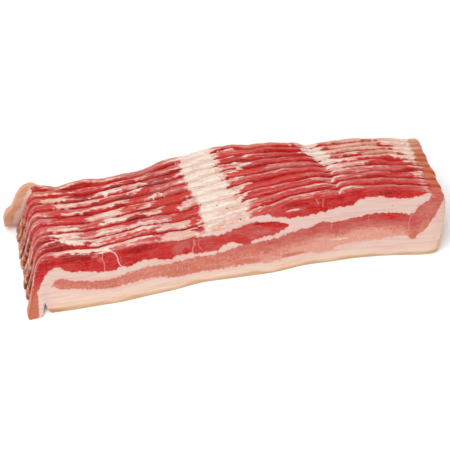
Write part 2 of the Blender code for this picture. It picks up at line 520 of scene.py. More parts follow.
    def weave(self, hook: Array, body: Array, root: int) -> None:
        """Number the points of both blocks and lay the faces of the closed mesh.

        Args:
            hook: the hook's points by column and row.
            body: the body's points by column and row.
            root: the row that meets the notch.
        """
        row_count = hook.shape[1]
        hook_ids = np.arange(hook.shape[0] * row_count).reshape(hook.shape[:2])
        body_ids = hook_ids.size + np.arange(body.shape[0] * row_count).reshape(body.shape[:2])
        body_ids[0, root:] = hook_ids[-1, root:]
        flat = np.concatenate([hook.reshape(-1, 2), body.reshape(-1, 2)])
        ring = np.concatenate([
            body_ids[:, 0], body_ids[-1, 1:], body_ids[-2::-1, -1], hook_ids[-2::-1, -1],
            hook_ids[0, -2::-1], hook_ids[1:, 0], hook_ids[-1, 1:root + 1],
            body_ids[0, root - 1:0:-1]])
        in_notch = np.isin(ring, np.concatenate([hook_ids[-1, :root + 1],
                                                 body_ids[0, :root + 1]]))
        band = self.band_points(flat[ring], in_notch)
        quads = [self.face_quads(hook_ids), self.face_quads(body_ids)]
        back = [quad[:, ::-1] + len(flat) for quad in quads]
        steps = [ring]
        for step in range(1, self.band_steps):
            steps.append(2 * len(flat) + (step - 1) * len(ring) + np.arange(len(ring)))
        steps.append(ring + len(flat))
        around = [np.stack([near, far, np.roll(far, -1), np.roll(near, -1)], axis=-1)
                  for near, far in zip(steps, steps[1:])]
        front_place = np.column_stack([flat, np.zeros(len(flat))])
        back_place = np.column_stack([flat, np.ones(len(flat))])
        points = np.concatenate([front_place, back_place, band.reshape(-1, 3)])
        faces = np.concatenate([*quads, *back, *around])
        used, renumbered = np.unique(faces, return_inverse=True)
        self.place = points[used]
        self.quads = renumbered.reshape(faces.shape)

    @staticmethod
    def face_quads(ids: Array) -> Array:
        """Return the four-cornered faces between a block's numbered points."""
        corners = (ids[:-1, :-1], ids[1:, :-1], ids[1:, 1:], ids[:-1, 1:])
        return np.stack(corners, axis=-1).reshape(-1, 4)

    def band_points(self, ring: Array, in_notch: Array) -> Array:
        """Return the points of the crowned band between the two faces.

        Args:
            ring: the outline's points, in order.
            in_notch: which of them line the notch.

        Returns:
            x, v and depth by step from front to back and point of the ring.
        """
        run = np.roll(ring, -1, axis=0) - np.roll(ring, 1, axis=0)
        normal = np.stack([run[:, 1], -run[:, 0]], axis=-1)
        normal /= np.maximum(np.hypot(*normal.T), 1e-9)[:, None]
        upward = smooth_step(normal[:, 1], *self.upward)
        crown = self.side_crown + (self.top_crown.at(ring[:, 0]) - self.side_crown) * upward
        crown = crown * smooth_step(ring[:, 0], *self.square_end)
        crown = np.maximum(crown, self.end_crown)
        crown = np.where(in_notch, self.notch_crown, crown)
        crown = crown * smooth_step(ring[:, 1], *self.foot_fade)
        shares = np.arange(1, self.band_steps) / self.band_steps
        depth = 0.5 - 0.5 * np.cos(math.pi * shares)
        fall = np.abs(2.0 * depth - 1.0) ** self.crown_power
        profile = (1.0 - fall) ** (1.0 / self.crown_power)
        moved = ring[None] + (profile[:, None] * crown[None])[..., None] * normal[None]
        depths = np.broadcast_to(depth[:, None, None], (*moved.shape[:2], 1))
        return np.concatenate([moved, depths], axis=-1)


# ---------------------------------------------------------------------------- lean and fat


@dataclass(frozen=True)
class TissueLook:
    """What one kind of tissue sets in the fields of the mesh.

    Attributes:
        lean: millimetres inside the lean, negative in fat; near 0 both show in streaks.
        tone: how deep the lean's red is, from salmon at 0 to dark red at 1.
        film: the share of grey-pink film over the lean.
        wet: the share of wet orange-red.
        dried: the share of dried tan.
        fat_tone: the fat's colour: white at 0, pink at 0.25, cream at 0.55, tan rind at 1.
    """

    lean: float
    tone: float = 0.7
    film: float = 0.0
    wet: float = 0.0
    dried: float = 0.0
    fat_tone: float = 0.06


class Tissue(Enum):
    """The kinds of tissue that show as blots."""

    FAT = TissueLook(-1.0)
    MILKY = TissueLook(-0.55, film=0.3, fat_tone=0.26)
    STAINED = TissueLook(-0.9, dried=0.16, fat_tone=0.4)
    CREAM = TissueLook(-1.2, fat_tone=0.5)
    STREAKY = TissueLook(-0.15, tone=0.6, film=0.3, fat_tone=0.16)
    RUDDY = TissueLook(-0.35, tone=0.34, dried=0.28, fat_tone=0.5)
    SEEPED = TissueLook(-0.5, tone=0.6, dried=0.55, fat_tone=0.6)
    LEAN = TissueLook(0.8, tone=0.74)
    VIVID = TissueLook(1.2, tone=0.84, wet=0.15)
    DEEP = TissueLook(1.2, tone=1.0)
    DULL = TissueLook(0.7, tone=0.74, film=0.38)
    DUSKY = TissueLook(0.9, tone=0.98, film=0.12)
    FILM = TissueLook(0.8, tone=0.7, film=0.85)
    WET = TissueLook(1.2, tone=0.8, wet=1.0)
    TAN = TissueLook(0.6, tone=0.6, dried=0.55, fat_tone=0.5)
    HONEY = TissueLook(0.8, tone=0.28, dried=0.42)
    MOIST = TissueLook(0.9, tone=0.78, wet=0.4)


@dataclass(frozen=True)
class Blot:
    """A long blot of one tissue, pointed at both ends.

    Attributes:
        tissue: what it shows.
        left: where it begins along the rasher.
        right: where it ends.
        low: its lower side: a height on a face, or a share of the thickness on a top edge.
        high: its upper side.
        slope: how much it climbs for each millimetre along the rasher.
    """

    tissue: Tissue
    left: float
    right: float
    low: float
    high: float
    slope: float = 0.0

    def weight(self, x: Array, height: Array) -> Array:
        """Return how much of the blot covers each point.

        Args:
            x: places along the rasher.
            height: heights in the blot's measure.

        Returns:
            The share, 0 to 1.
        """
        along = (x - (self.left + self.right) / 2.0) / ((self.right - self.left) / 2.0)
        climb = self.slope * (x - (self.left + self.right) / 2.0)
        across = (height - climb - (self.low + self.high) / 2.0) / ((self.high - self.low) / 2.0)
        return smooth_step(1.0 - np.abs(along) ** 2.5 - across ** 2, -0.35, 0.55)


(FAT, MILKY, STAINED, CREAM, STREAKY, RUDDY, SEEPED, LEAN, VIVID, DEEP, DULL, DUSKY, FILM,
 WET, TAN, HONEY, MOIST) = Tissue

PATCH_TISSUES = (STAINED, SEEPED)


def blots(*rows: tuple) -> tuple[Blot, ...]:
    """Return the blots of some rows of their tissue, left, right, low, high and slope."""
    return tuple(Blot(*row) for row in rows)


EDGE_BLOTS: dict[int, tuple[Blot, ...]] = {
    0: blots((DEEP, -101, -72, -0.4, 0.32), (MILKY, -99, -88, 0.5, 1.3),
        (FAT, -93, -60, 0.35, 1.0), (STAINED, -66, -50, 0.4, 1.2),
        (DULL, -66, -37, -0.2, 0.4), (FAT, -56, -44, 0.5, 1.2), (LEAN, -46, -36, 0.1, 0.9),
        (STAINED, -38, -15, -0.3, 1.3), (DEEP, -20.5, -14.5, 0.2, 1.0),
        (STAINED, -11, 12, -0.2, 0.75), (VIVID, 14, 36, -0.4, 0.6),
        (DULL, 32, 60, 0.2, 1.2), (MILKY, 34, 52, 0.6, 1.2), (MILKY, 63, 82, 0.45, 1.1),
        (DULL, 70, 106, 0.4, 1.2), (VIVID, 64, 110, -0.6, 0.35)),
    1: blots((DEEP, -102, -83, -0.4, 0.8), (FAT, -100, -83, 0.6, 1.3), (FAT, -91, -79, 0.1, 1.1),
        (DEEP, -78.5, -74.5, -0.1, 0.8), (MILKY, -75, -56, 0.3, 1.2),
        (LEAN, -72, -36, -0.1, 0.45), (FAT, -60, -38, 0.5, 1.1),
        (STAINED, -38, -20, 0.1, 0.9), (WET, -21, -15.5, -0.1, 1.0),
        (STAINED, -6, 11, 0.2, 1.0), (DULL, 14, 28, 0.2, 1.3), (VIVID, 26, 48, -0.4, 0.7),
        (MILKY, 40, 58, 0.6, 1.2), (DULL, 64, 104, 0.1, 1.3), (VIVID, 62, 110, -0.5, 0.25)),
    2: blots((DEEP, -102, -83, -0.5, 0.5), (FAT, -100, -83, 0.45, 1.0, -0.01),
        (MILKY, -92, -77, -0.2, 0.6), (DULL, -81, -69, -0.3, 1.4),
        (STAINED, -72, -62, 0.3, 1.0), (STREAKY, -66, -54, -0.1, 0.7),
        (DEEP, -59, -44, 0.3, 1.2), (DULL, -48, -29, 0.1, 1.1),
        (STREAKY, -58, -31, -0.1, 0.3), (WET, -30, -12.5, -0.4, 1.4, -0.02),
        (STAINED, -4, 10, 0.4, 1.2), (FAT, 8, 15, 0.1, 0.9), (SEEPED, 7, 9, 0.2, 1.2),
        (VIVID, 12, 28, -0.3, 0.8), (VIVID, 24, 52, -0.6, 0.7), (MILKY, 47, 58, 0.6, 1.2),
        (MILKY, 62, 68, 0.3, 1.2), (DULL, 64, 92, 0.1, 1.3), (VIVID, 89, 101, 0.0, 1.0),
        (STREAKY, 103, 111, 0.2, 1.4)),
    3: blots((DULL, -103, -94, -0.2, 1.2), (RUDDY, -97, -86, 0.0, 0.9),
        (DULL, -88, -66, 0.2, 1.3), (LEAN, -80, -66, 0.0, 0.8), (FAT, -68, -58, 0.1, 1.1),
        (MILKY, -61, -38, 0.1, 1.2), (DEEP, -54, -42, -0.3, 0.3),
        (DULL, -48, -38, 0.4, 1.2), (STREAKY, -41, -33, 0.1, 0.8),
        (WET, -35, -23, -0.3, 1.4), (STREAKY, -25, -15, -0.2, 1.3),
        (VIVID, 10, 48, -0.5, 1.4), (FAT, 6.5, 12.5, 0.2, 0.9),
        (SEEPED, 5.5, 7.5, 0.2, 1.1), (DULL, 44, 58, 0.1, 1.3), (DULL, 61, 104, -0.4, 1.4),
        (MILKY, 66, 98, 0.65, 1.25), (MILKY, 61, 72, 0.2, 0.8), (LEAN, 70, 104, 0.15, 0.45),
        (CREAM, 101, 112, 0.3, 1.4)),
    4: blots((FILM, -106, -91, 0.0, 1.3), (VIVID, -95, -73, -0.3, 1.3),
        (STAINED, -75, -53, -0.3, 1.4), (FAT, -70, -58, 0.2, 1.0),
        (LEAN, -57, -40, 0.0, 1.3), (MILKY, -51, -38, 0.6, 1.2),
        (WET, -38, -15.5, -0.8, 1.8), (SEEPED, 5.5, 7.5, 0.3, 1.2),
        (VIVID, 8, 54, -0.6, 0.5), (MILKY, 6, 12, 0.5, 0.9), (DULL, 34, 60, 0.2, 1.3),
        (FAT, 60, 79, 0.2, 1.3), (MILKY, 62, 86, -0.4, 0.6), (RUDDY, 76, 88, 0.3, 1.2),
        (VIVID, 84, 109, -0.5, 1.0), (CREAM, 101, 112, 0.3, 1.3)),
    5: blots((FILM, -107, -94, 0.0, 1.3), (LEAN, -98, -81, -0.2, 1.3),
        (MILKY, -84, -49, 0.1, 1.4), (DULL, -84, -72, 0.3, 1.2),
        (DEEP, -83, -47, -0.5, 0.15), (LEAN, -52, -36, -0.2, 1.3),
        (FAT, -36.5, -32, -0.1, 1.0, 0.08), (WET, -34, -28, 0.2, 1.2),
        (DULL, -30, -16, -0.5, 1.7), (SEEPED, 4.5, 6.5, -0.1, 1.1),
        (VIVID, 8, 32, -0.4, 1.1), (FAT, 6, 12, 0.4, 0.9), (DULL, 28, 56, -0.5, 1.1),
        (FAT, 57, 80, -0.1, 1.6), (MILKY, 66, 97, 0.0, 1.6), (VIVID, 84, 102, -0.4, 0.2),
        (CREAM, 95, 112, 0.0, 1.6)),
    6: blots((WET, -100, -88, -0.1, 1.2), (STAINED, -92, -82, -0.1, 1.3),
        (MILKY, -83, -64, 0.1, 1.4), (DEEP, -69, -47, -0.5, 0.5),
        (STREAKY, -66, -50, 0.4, 1.2), (FAT, -52, -42, 0.25, 1.4),
        (WET, -44, -36, -0.4, 1.2), (DULL, -37, -19, -0.5, 1.7),
        (SEEPED, 3.5, 5.5, -0.2, 1.3), (MILKY, 8, 15, 0.4, 1.0), (FAT, 14, 20, 0.0, 1.0),
        (VIVID, 22, 54, -0.5, 1.4), (DULL, 22, 40, 0.4, 1.3), (FAT, 54, 66, 0.1, 1.6),
        (MILKY, 61, 100, 0.0, 1.6), (LEAN, 66, 72, 0.2, 0.7), (VIVID, 79, 86, -0.5, 0.8),
        (RUDDY, 84, 104, -0.3, 0.9), (CREAM, 101, 112, 0.0, 1.6)),
    7: blots((TAN, -102, -91, 0.0, 1.4), (STAINED, -97, -84, -0.2, 0.8, 0.03),
        (DEEP, -85, -67, -0.5, 1.4), (FAT, -69, -52, 0.1, 1.0, -0.008),
        (MILKY, -55, -38, -0.1, 0.7), (DEEP, -53, -43, 0.5, 1.4), (TAN, -43, -35, 0.3, 1.3),
        (DUSKY, -38, -20, -0.6, 1.8), (SEEPED, 3, 5, -0.2, 1.3), (DEEP, 5, 18, -0.5, 1.1),
        (FAT, 17, 22, 0.2, 1.3), (VIVID, 20, 50, -0.6, 0.6), (DULL, 26, 52, 0.4, 1.4),
        (FAT, 52.5, 67, -0.3, 1.6), (RUDDY, 65, 100, -0.3, 0.9), (MILKY, 64, 96, 0.4, 1.6),
        (CREAM, 96, 112, 0.0, 1.6)),
    8: blots((TAN, -103, -89, 0.1, 1.4), (DEEP, -92, -78, 0.1, 1.4), (VIVID, -83, -61, -0.6, 0.7),
        (MILKY, -80, -73, 0.4, 1.1, -0.05), (RUDDY, -65, -52, 0.1, 1.4),
        (DEEP, -57, -43, -0.5, 0.5), (TAN, -53, -38, 0.4, 1.4), (DULL, -40, -18, -0.3, 1.9),
        (SEEPED, 2, 4, -0.2, 1.4), (DULL, 4, 30, 0.2, 1.6), (VIVID, 8, 52, -0.6, 0.45),
        (TAN, 32, 50, 0.4, 1.8), (FAT, 51, 63, -0.5, 1.6), (RUDDY, 61, 98, -0.4, 1.8),
        (CREAM, 93, 112, -0.3, 1.6)),
    9: blots((RUDDY, -109, -95, -0.2, 1.6), (DULL, -97, -79, 0.0, 1.6),
        (FILM, -81, -60, 0.2, 1.7), (TAN, -64, -48, 0.2, 1.6), (DULL, -52, -20, -0.5, 1.8),
        (TAN, 3.5, 47, 0.0, 1.9), (MILKY, 46, 61, -0.3, 1.8), (RUDDY, 59, 98, -0.2, 1.8),
        (CREAM, 93, 110, -0.4, 1.8)),
}

FACE_BLOTS: tuple[Blot, ...] = blots(
    (DEEP, -101, -73, 28.4, 31.5), (DEEP, -61, -37, 26.8, 30.2),
    (VIVID, -41, -33.5, 20.0, 28.0, -1.1), (DULL, -77.5, -74, 28.6, 30.8),
    (DULL, -74.5, -71.5, 25.8, 28.8), (HONEY, -76.5, -73, 29.0, 31.0),
    (DULL, -33, -23, 20.5, 27.0), (VIVID, -28, -24, 19.0, 23.0),
    (MOIST, -10.5, -3.5, 20.4, 24.4, 0.1), (MOIST, -1, 10.5, 20.0, 25.4, -0.35),
    (DULL, 10, 22, 23.6, 27.0, 0.06), (DEEP, 12, 27, 29.3, 31.0, -0.05),
    (VIVID, 20, 32, 26.4, 29.4, -0.2), (DEEP, 25, 37, 38.0, 39.6, 0.07),
    (DEEP, 33, 45, 36.8, 38.6, 0.05), (DEEP, 49, 64, 38.0, 40.2), (VIVID, 64, 110, 38.8, 41.8),
    (DEEP, 82, 90, 39.6, 41.2), (DULL, 30, 42, 34.0, 36.2), (FAT, 30, 39.5, 34.6, 35.7),
    (FAT, 53, 66, 12.9, 14.8, -0.02), (FAT, 55, 72, 7.4, 10.6, 0.08),
    (MILKY, 86, 92, 31.4, 33.2), (HONEY, -76, -64, 9.8, 12.4), (HONEY, -38, -30, 7.8, 12.6),
    (HONEY, -32, -6, 7.0, 9.4), (HONEY, 0, 16, 7.8, 10.8), (HONEY, 26, 40, 7.6, 9.8),
    (HONEY, 103, 110, 16.0, 22.0, 0.9))


@dataclass(frozen=True)
class FatSeam:
    """A thin seam of fat that crosses the lean of one rasher's face.

    Attributes:
        points: the seam's path over the face.
        strength: how clearly it shows, 0 to 1.
    """

    points: Stations
    strength: float = 1.0

    def gaps(self, x: Array, v: Array) -> tuple[Array, Array]:
        """Return how far each point lies from the seam, and beside it.

        Args:
            x: places along the rasher.
            v: distances up its face.

        Returns:
            The distance, and the distance across the seam with its side as the sign.
        """
        ends = np.array(self.points, dtype=float)
        place = np.stack([x, v], axis=-1)
        nearest = np.full(x.shape, np.inf)
        beside = np.zeros(x.shape)
        for start, end in zip(ends, ends[1:]):
            run = end - start
            from_start = place - start
            share = np.clip(from_start @ run / (run @ run), 0.0, 1.0)
            distance = np.hypot(*np.moveaxis(from_start - share[..., None] * run, -1, 0))
            across = (from_start[..., 0] * run[1] - from_start[..., 1] * run[0]) / np.hypot(*run)
            beside = np.where(distance < nearest, across, beside)
            nearest = np.minimum(nearest, distance)
        return nearest, beside


FAR = 60.0


@dataclass(frozen=True)
class FatSpan:
    """A stretch where fat reaches up to the top edges, from rasher to rasher.

    Attributes:
        left: where it begins along each rasher, by the rasher's number.
        right: where it ends; a rasher whose end lies left of its beginning has none.
        depth: how far the fat reaches down the faces.
        rise: how fast it deepens from its ends.
    """

    left: SmoothLine
    right: SmoothLine
    depth: float = 2.5
    rise: float = 0.5

    def room(self, x: Array, number: int) -> Array:
        """Return how far inside the stretch each place lies, negative outside."""
        return np.minimum(x - self.left.at(number), self.right.at(number) - x)

    def thickness(self, x: Array, number: int) -> Array:
        """Return the thickness of the fat under the top edge, negative outside the stretch."""
        return np.minimum(self.rise * self.room(x, number), self.depth)


@dataclass(frozen=True)
class CutPoints:
    """The points of one rasher's mesh, as the layers see them.

    Attributes:
        x: places along the rasher.
        v: distances up its face from the rind.
        depth: 0 on its front face and 1 on its back face.
        below: distances below its top edge.
        outer: how far each point lies from the hook's outer side.
        number: the rasher, 0 in front.
    """

    x: Array
    v: Array
    depth: Array
    below: Array
    outer: Array
    number: int


@dataclass(frozen=True)
class Region:
    """A part of a rasher with soft borders.

    Attributes:
        turns: the points' measures, and where along each the region begins and where it is full.
        amount: how strong it is where it is full.
    """

    turns: tuple[tuple[str, float, float], ...]
    amount: float = 1.0

    def share(self, at: CutPoints, base: Array | float = 1.0) -> Array:
        """Return how much each point belongs to the region.

        Args:
            at: the points of one rasher.
            base: a share that the region's is multiplied by.

        Returns:
            The share, from 0 to the region's amount.
        """
        share = self.amount * base
        for measure, start, end in self.turns:
            share = share * smooth_step(getattr(at, measure), start, end)
        return share


@dataclass(frozen=True)
class MeatPattern:
    """Where lean, fat, rind and film lie in each rasher.

    Lines give distances up the face at x. Fields named lean are positive in lean and negative
    in fat, in millimetres from the border between them.
    """

    form: PileForm
    upper_bottom: SmoothLine = SmoothLine((
        (-118, -20), (-112.5, -9), (-111, 0), (-109.6, 6.4), (-108.9, 12.4), (-107.6, 16.5),
        (-105.5, 19.6), (-102.9, 22.8), (-100.3, 25.6), (-97.4, 26.6), (-94.8, 26.0),
        (-89.8, 23.3), (-84.5, 22.5), (-79.2, 21.4), (-73.9, 20.0), (-68, 19.7), (-62.7, 20.8),
        (-58.6, 20.3), (-51.8, 21.5), (-46.1, 21.4), (-40.7, 20.1), (-34.2, 19.1),
        (-30.7, 19.9), (-24, 19.2), (-15.7, 17.6), (-9, 18.2), (-3.5, 20.9), (0.5, 21.3),
        (3.5, 20.5), (6.2, 19.4), (8.5, 19.4), (10.5, 20.7), (13, 21.8), (17, 22.3),
        (23.8, 23.0), (28.4, 24.7), (33.0, 26.9), (38, 30), (46, 44), (60, FAR), (120, FAR)))
    cap_bottom: SmoothLine = SmoothLine((
        (-118, FAR), (-60, FAR), (-36, 36), (-24, 29.6), (-17.3, 27.3), (-8.9, 27.5),
        (-0.4, 29.1), (5, 30.4), (10.7, 31.2), (18, 31.4), (25.5, 29.4), (33, 26.9),
        (38, 23), (60, -FAR), (120, -FAR)))
    right_bottom: SmoothLine = SmoothLine((
        (-118, FAR), (4, FAR), (12, 44), (15, 38.5), (17.5, 36.0), (22, 35.0), (25.5, 33.0),
        (30.1, 31.5), (36, 30.8), (41, 30.2), (46, 31.0), (52.5, 32.2), (58, 33.4),
        (63.4, 33.6), (68, 34.2), (71.5, 36.6), (76, 38.4), (82.9, 38), (88.3, 37.4),
        (93.7, 36.9), (101.8, 37.3), (106, 38.9), (109, 41.2), (111.5, 46), (115, FAR),
        (120, FAR)))
    lower_top: SmoothLine = SmoothLine((
        (-118, 0), (-103, 13), (-100.4, 15.5), (-99, 18.2), (-96.5, 19.4), (-93.2, 19.3),
        (-88, 17.4), (-82.7, 16.2), (-77.4, 15.3), (-72, 14.8), (-66.4, 15.2), (-55.2, 16.8),
        (-46.7, 16.9), (-35.7, 16.3), (-24.4, 16.1), (-14.2, 15.6), (-9.2, 15.9), (-3, 17.1),
        (1.2, 18.3), (5.5, 19.6), (9, 19.9), (13, 19.7), (20.8, 20.3), (29.3, 21.3),
        (37.9, 22.6), (45, 24.0), (50, 26.0), (56, 25.0), (65.9, 25.8), (72.6, 26.8), (77.1, 28.0),
        (85.4, 27.8), (93.6, 27.6), (101.2, 27.6), (103.4, 31), (106.5, 33.6), (109.4, 35.4),
        (111.2, 39), (113.2, 48), (116, FAR), (120, FAR)))
    lower_bottom: SmoothLine = SmoothLine((
        (-118, 30), (-103, 18), (-100.4, 16.2), (-98.4, 14.2), (-94.1, 13.5), (-86.1, 12.0),
        (-75.4, 10.2), (-70, 9.7), (-60, 10.4), (-53.3, 10.4), (-41, 9.6), (-35.5, 8.2),
        (-30, 7.4), (-17, 6.9), (-8.5, 6.6), (8.4, 7.4), (19.5, 6.9), (28.2, 8.1),
        (42.6, 7.6), (48.3, 7.2), (62.3, 8.4), (70.8, 10.6), (79, 11.4), (87.8, 12.2),
        (96.8, 12.9), (100.5, 11.2), (104.3, 15.1), (107.2, 17.8), (110.1, 21.4),
        (112.9, 24.8), (115.2, 29.6), (116.9, 33.6), (120, 40)))
    rind_top: SmoothLine = SmoothLine((
        (-118, 0.4), (-108, 0.6), (-105, 3.4), (-101, 2.8), (-80, 2.0), (-40, 1.7), (0, 1.9),
        (40, 1.6), (70, 1.9), (105, 2.0), (110, 2.2), (114, 3.6), (117, 5.5), (119, 6.0)))
    layer_shift: SmoothLine = SmoothLine((
        (-118, 0), (-40, 0), (-15, 2), (5, 11), (30, 8), (60, 0), (118, 0)))
    low_tone: SmoothLine = SmoothLine((
        (-110, 0.3), (-40, 0.24), (0, 0.16), (20, 0.03), (94, 0.06), (101, 0.42), (112, 0.44)))
    high_tone: SmoothLine = SmoothLine((
        (-110, 0.33), (-74, 0.37), (-60, 0.28), (-30, 0.3), (0, 0.39), (20, 0.46), (50, 0.58),
        (66, 0.64), (98, 0.66), (105, 0.45), (118, 0.44)))
    fat_warmth: SmoothLine = SmoothLine((
        (-118, -0.05), (-107, -0.05), (-102, 0.15), (-97, 0.31), (-90, 0.33), (-60, 0.33),
        (20, 0.33), (50, 0.32), (80, 0.14), (118, 0.12)))
    end_skin: SmoothLine = SmoothLine((
        (0, 111.2), (2.4, 113.9), (7, 115.2), (13.5, 116.6), (20, 117.7), (40, 118.2)))
    bare_skin: SmoothLine = SmoothLine((
        (-120, -1.2), (-103, -0.9), (-99.5, -0.3), (-94, 0.0), (-60, 0.05), (-30, 0.05),
        (-20, 0.05), (-10, -0.3), (-2, -0.5), (13, -0.5), (60, -0.6), (104, -0.6), (109, -0.2),
        (111, -0.6), (120, -0.6)))
    # How much film lies on the top edges along x: partly real grey-pink film, partly a painted
    # highlight along each top.
    film_and_sheen_line: SmoothLine = SmoothLine((
        (-120, 0.45), (-104, 0.75), (-98, 0.6), (-88, 0.5), (-20, 0.4), (-10, 0.0), (8, 0.1),
        (16, 0.8), (106, 0.8), (111, 0.1), (120, 0.1)))
    patch: FatSpan = FatSpan(
        SmoothLine(((0, -14.5), (2, -15), (4, -16.5), (6, -19), (8, -19.5), (9, -19.5))),
        SmoothLine(((0, 12.5), (1, 12.5), (2, 10), (4, 6.5), (6, 4.5), (9, 3))), 3.5)
    more_fat: tuple[FatSpan, ...] = (
        FatSpan(SmoothLine(((3, 66), (4, 60), (5, 57), (6, 54.5), (7, 53), (8, 51.5), (9, 50))),
                SmoothLine(((3, 62), (4, 64), (5, 66), (6, 65), (7, 64), (8, 62), (9, 59)))),
        FatSpan(SmoothLine(((4, 120), (5, 106), (6, 103), (7, 100), (9, 100))),
                SmoothLine(((4, 100), (5, 111), (6, 112.5), (7, 118), (8, 119.5), (9, 119.5)))))
    end_dried: SmoothLine = SmoothLine(((0, 0.7), (3, 0.8), (6, 0.92), (9, 0.72)))
    face_seams: tuple[FatSeam, ...] = (
        FatSeam(((-66.4, 31.0), (-64.6, 29.8), (-63.6, 27.4), (-63.3, 24.0), (-62.6, 21.8),
                 (-61.4, 20.6)), 0.8),
        FatSeam(((-71.0, 30.6), (-71.8, 27.4), (-71.0, 24.6), (-71.4, 20.6)), 0.3),
        FatSeam(((-21.0, 25.4), (-21.0, 23.6), (-22.4, 21.0), (-22.2, 18.8)), 0.36),
        FatSeam(((-18.4, 24.8), (-18.9, 22.4), (-17.8, 20.6)), 0.2),
        FatSeam(((48.4, 38.8), (49.2, 36.8)), 0.24), FatSeam(((51.7, 39.0), (51.4, 36.0)), 0.2),
        FatSeam(((101.0, 27.4), (99.6, 25.6), (98.4, 22.6), (98.2, 17.6)), 0.22),
        FatSeam(((55.9, 26.0), (55.3, 21.4)), 0.2), FatSeam(((76.6, 26.6), (76.0, 23.4)), 0.14))
    lean_limit: float = 3.0
    edge_lean_limit: float = 1.2
    seam_reach: Pair = (1.8, 1.1)
    seam_side: float = 3.0
    crown: Region = Region((("below", 1.0, 0.15),))
    hook_rim: Region = Region((("outer", 1.0, 0.15), ("x", -102.5, -104.5)))
    band: Region = Region((("below", 1.9, 0.6),))
    # Painted light: grey-pink film on the hidden faces of the hook fan, which lightens the shade in
    # its crevices.
    crevice_light_film: Region = Region((("x", -99.0, -104.5),), 0.4)
    # Film on the back part of each top edge, partly real film and partly a painted highlight.
    edge_film_and_sheen: Region = Region((("depth", 0.28, 0.78),))
    edge_tone: float = 0.88
    edge_tone_loss: Region = Region((("depth", 0.1, 0.5),), 0.14)
    edge_fat_tone: float = 0.06
    # A pale line along the front of each top edge: partly real fat, partly a painted highlight on
    # the crest.
    sheen_fat_line: Region = Region((("depth", 0.02, 0.1), ("depth", 0.3, 0.16)))
    sheen_fat_line_left: Region = Region((("x", -14.0, -22.0),))
    sheen_fat_line_wave: Wave = Wave(8, 1.0, (23.0, 13.0, 7.0))
    sheen_fat_line_gaps: Pair = (0.1, 0.7)
    sheen_fat_line_amount: float = 1.25
    sheen_fat_line_under_film: float = 0.5
    hook: Region = Region((("x", -101.0, -108.0), ("v", 24.0, 8.0)))
    hook_tone: float = 0.42
    # Painted shade: the hidden faces of the hook fan turn dark red where they lie in the crevices
    # between hooks.
    crevice_shade: Region = Region((("x", -101.0, -106.0), ("v", 4.0, 9.0)))
    crevice_shade_tone: float = 0.96
    hook_side: Region = Region((("x", -103.5, -106.0),))
    front_hook_share: float = 0.4
    hook_line: Region = Region((("depth", 0.32, 0.08), ("v", 30.0, 24.0)))
    front_hook_line_fat: float = 1.3
    hook_line_fat: float = 0.85
    hook_brown: Region = Region((("v", 24.0, 14.0), ("depth", 0.12, 0.3)))
    hook_brown_tone: float = 0.97
    crumbs: Region = Region((("outer", 3.6, 1.4), ("v", 27.0, 18.0), ("x", -103.5, -106.0)))
    lens: Region = Region((("x", -38.0, -30.0), ("x", 34.0, 26.0)), 0.16)
    lean_strip: Region = Region((("below", 5.0, 3.0),))
    fat_strip: Region = Region((("below", 6.0, 4.0),))
    face_fat_tone: float = 0.22
    strip_fat_tone: float = 0.1
    end_foot: Region = Region((("v", 15.0, 7.0),), 0.7)
    right_rim: Region = Region((("x", 115.6, 117.4),))
    dry_tip: Region = Region((("x", -104.0, -109.0), ("v", 22.0, 6.0)))
    dry_tip_lean: Pair = (-0.4, 0.6)
    dry_tip_front: Pair = (0.74, 0.16)
    dry_tip_inner: float = 0.15
    dry_corner: Region = Region((("x", -93.0, -101.0), ("x", -106.5, -105.0), ("v", 3.6, 1.6)), 0.7)
    band_turn: Pair = (0.0, 0.06)
    dry_rim_loss: float = 0.4
    dry_right: Pair = (110.5, 112.5)
    dry_right_shift: float = -0.1
    dry_right_face: Region = Region((("below", 9.0, 3.0),))
    dry_right_hint: Region = Region((("x", 109.0, 118.0),), 0.15)
    dry_back_top: tuple[Region, ...] = (
        Region((("x", -2.0, 3.0), ("x", 51.0, 47.0))),
        Region((("x", 58.0, 62.0), ("x", 98.0, 94.0))), Region((("x", -46.0, -60.0),), 0.5))
    dry_back_share: float = 0.75
    rind_turn: Pair = (1.6, -0.8)
    under_skin_gap: float = 2.2
    under_skin_turn: Pair = (0.8, 0.1)
    under_skin_share: float = 0.34
    end_skin_turn: Pair = (-3.4, -0.8)
    warm_turn: Pair = (-1.0, 5.0)
    rind_wave: Wave = Wave(5, 0.5, (31.0, 17.0))
    blot_slant: float = 5.0
    blot_wave: Wave = Wave(6, 1.5, (9.0, 5.0, 3.1))
    blot_wave_drift: float = 9.0
    blot_side_wave: Wave = Wave(7, 0.12, (14.0, 8.0, 4.3))
    blot_fade: Pair = (3.0, -1.0)
    upper_tone: float = 0.82
    low_tone_rise: Pair = (0.02, 0.86)
    low_tone_top: Pair = (-1.5, -0.2)
    strip_tone: SmoothLine = SmoothLine((
        (-118, 0.9), (-60, 0.9), (0, 0.92), (50, 0.9), (66, 0.78), (118, 0.76)))
    last_lip: int = 5
    lip_x: Pair = (60.8, 59.4)
    lip_run: float = 2.4
    lip_half_width: float = 0.95
    lip_height: float = 0.22
    lip_jitter: float = 0.4
    lip_jitter_turn: float = 2.4
    lip_core: float = 0.3
    lip_fat: float = 2.3
    lip_base: Region = Region((("depth", -0.05, 0.25),))
    lip_tail: Region = Region((("depth", 0.62, 0.8), ("depth", 1.1, 0.9)))
    lip_tail_share: float = 0.8
    lip_tail_start: Pair = (1.0, 2.5)
    lip_tail_end: Pair = (9.0, 4.0)
    lip_fat_tone: float = 0.24
    back_rasher: int = 9
    flap: Region = Region((("x", -102.0, -104.0),))
    flap_tan: float = 5.0
    flap_white: float = 10.5
    flap_lean: Pair = (-1.5, -0.8)
    flap_tone: float = 0.8
    flap_rim: Region = Region((("outer", 5.8, 4.2),))
    dry_flap: Region = Region((("x", -103.0, -105.0),), 0.5)

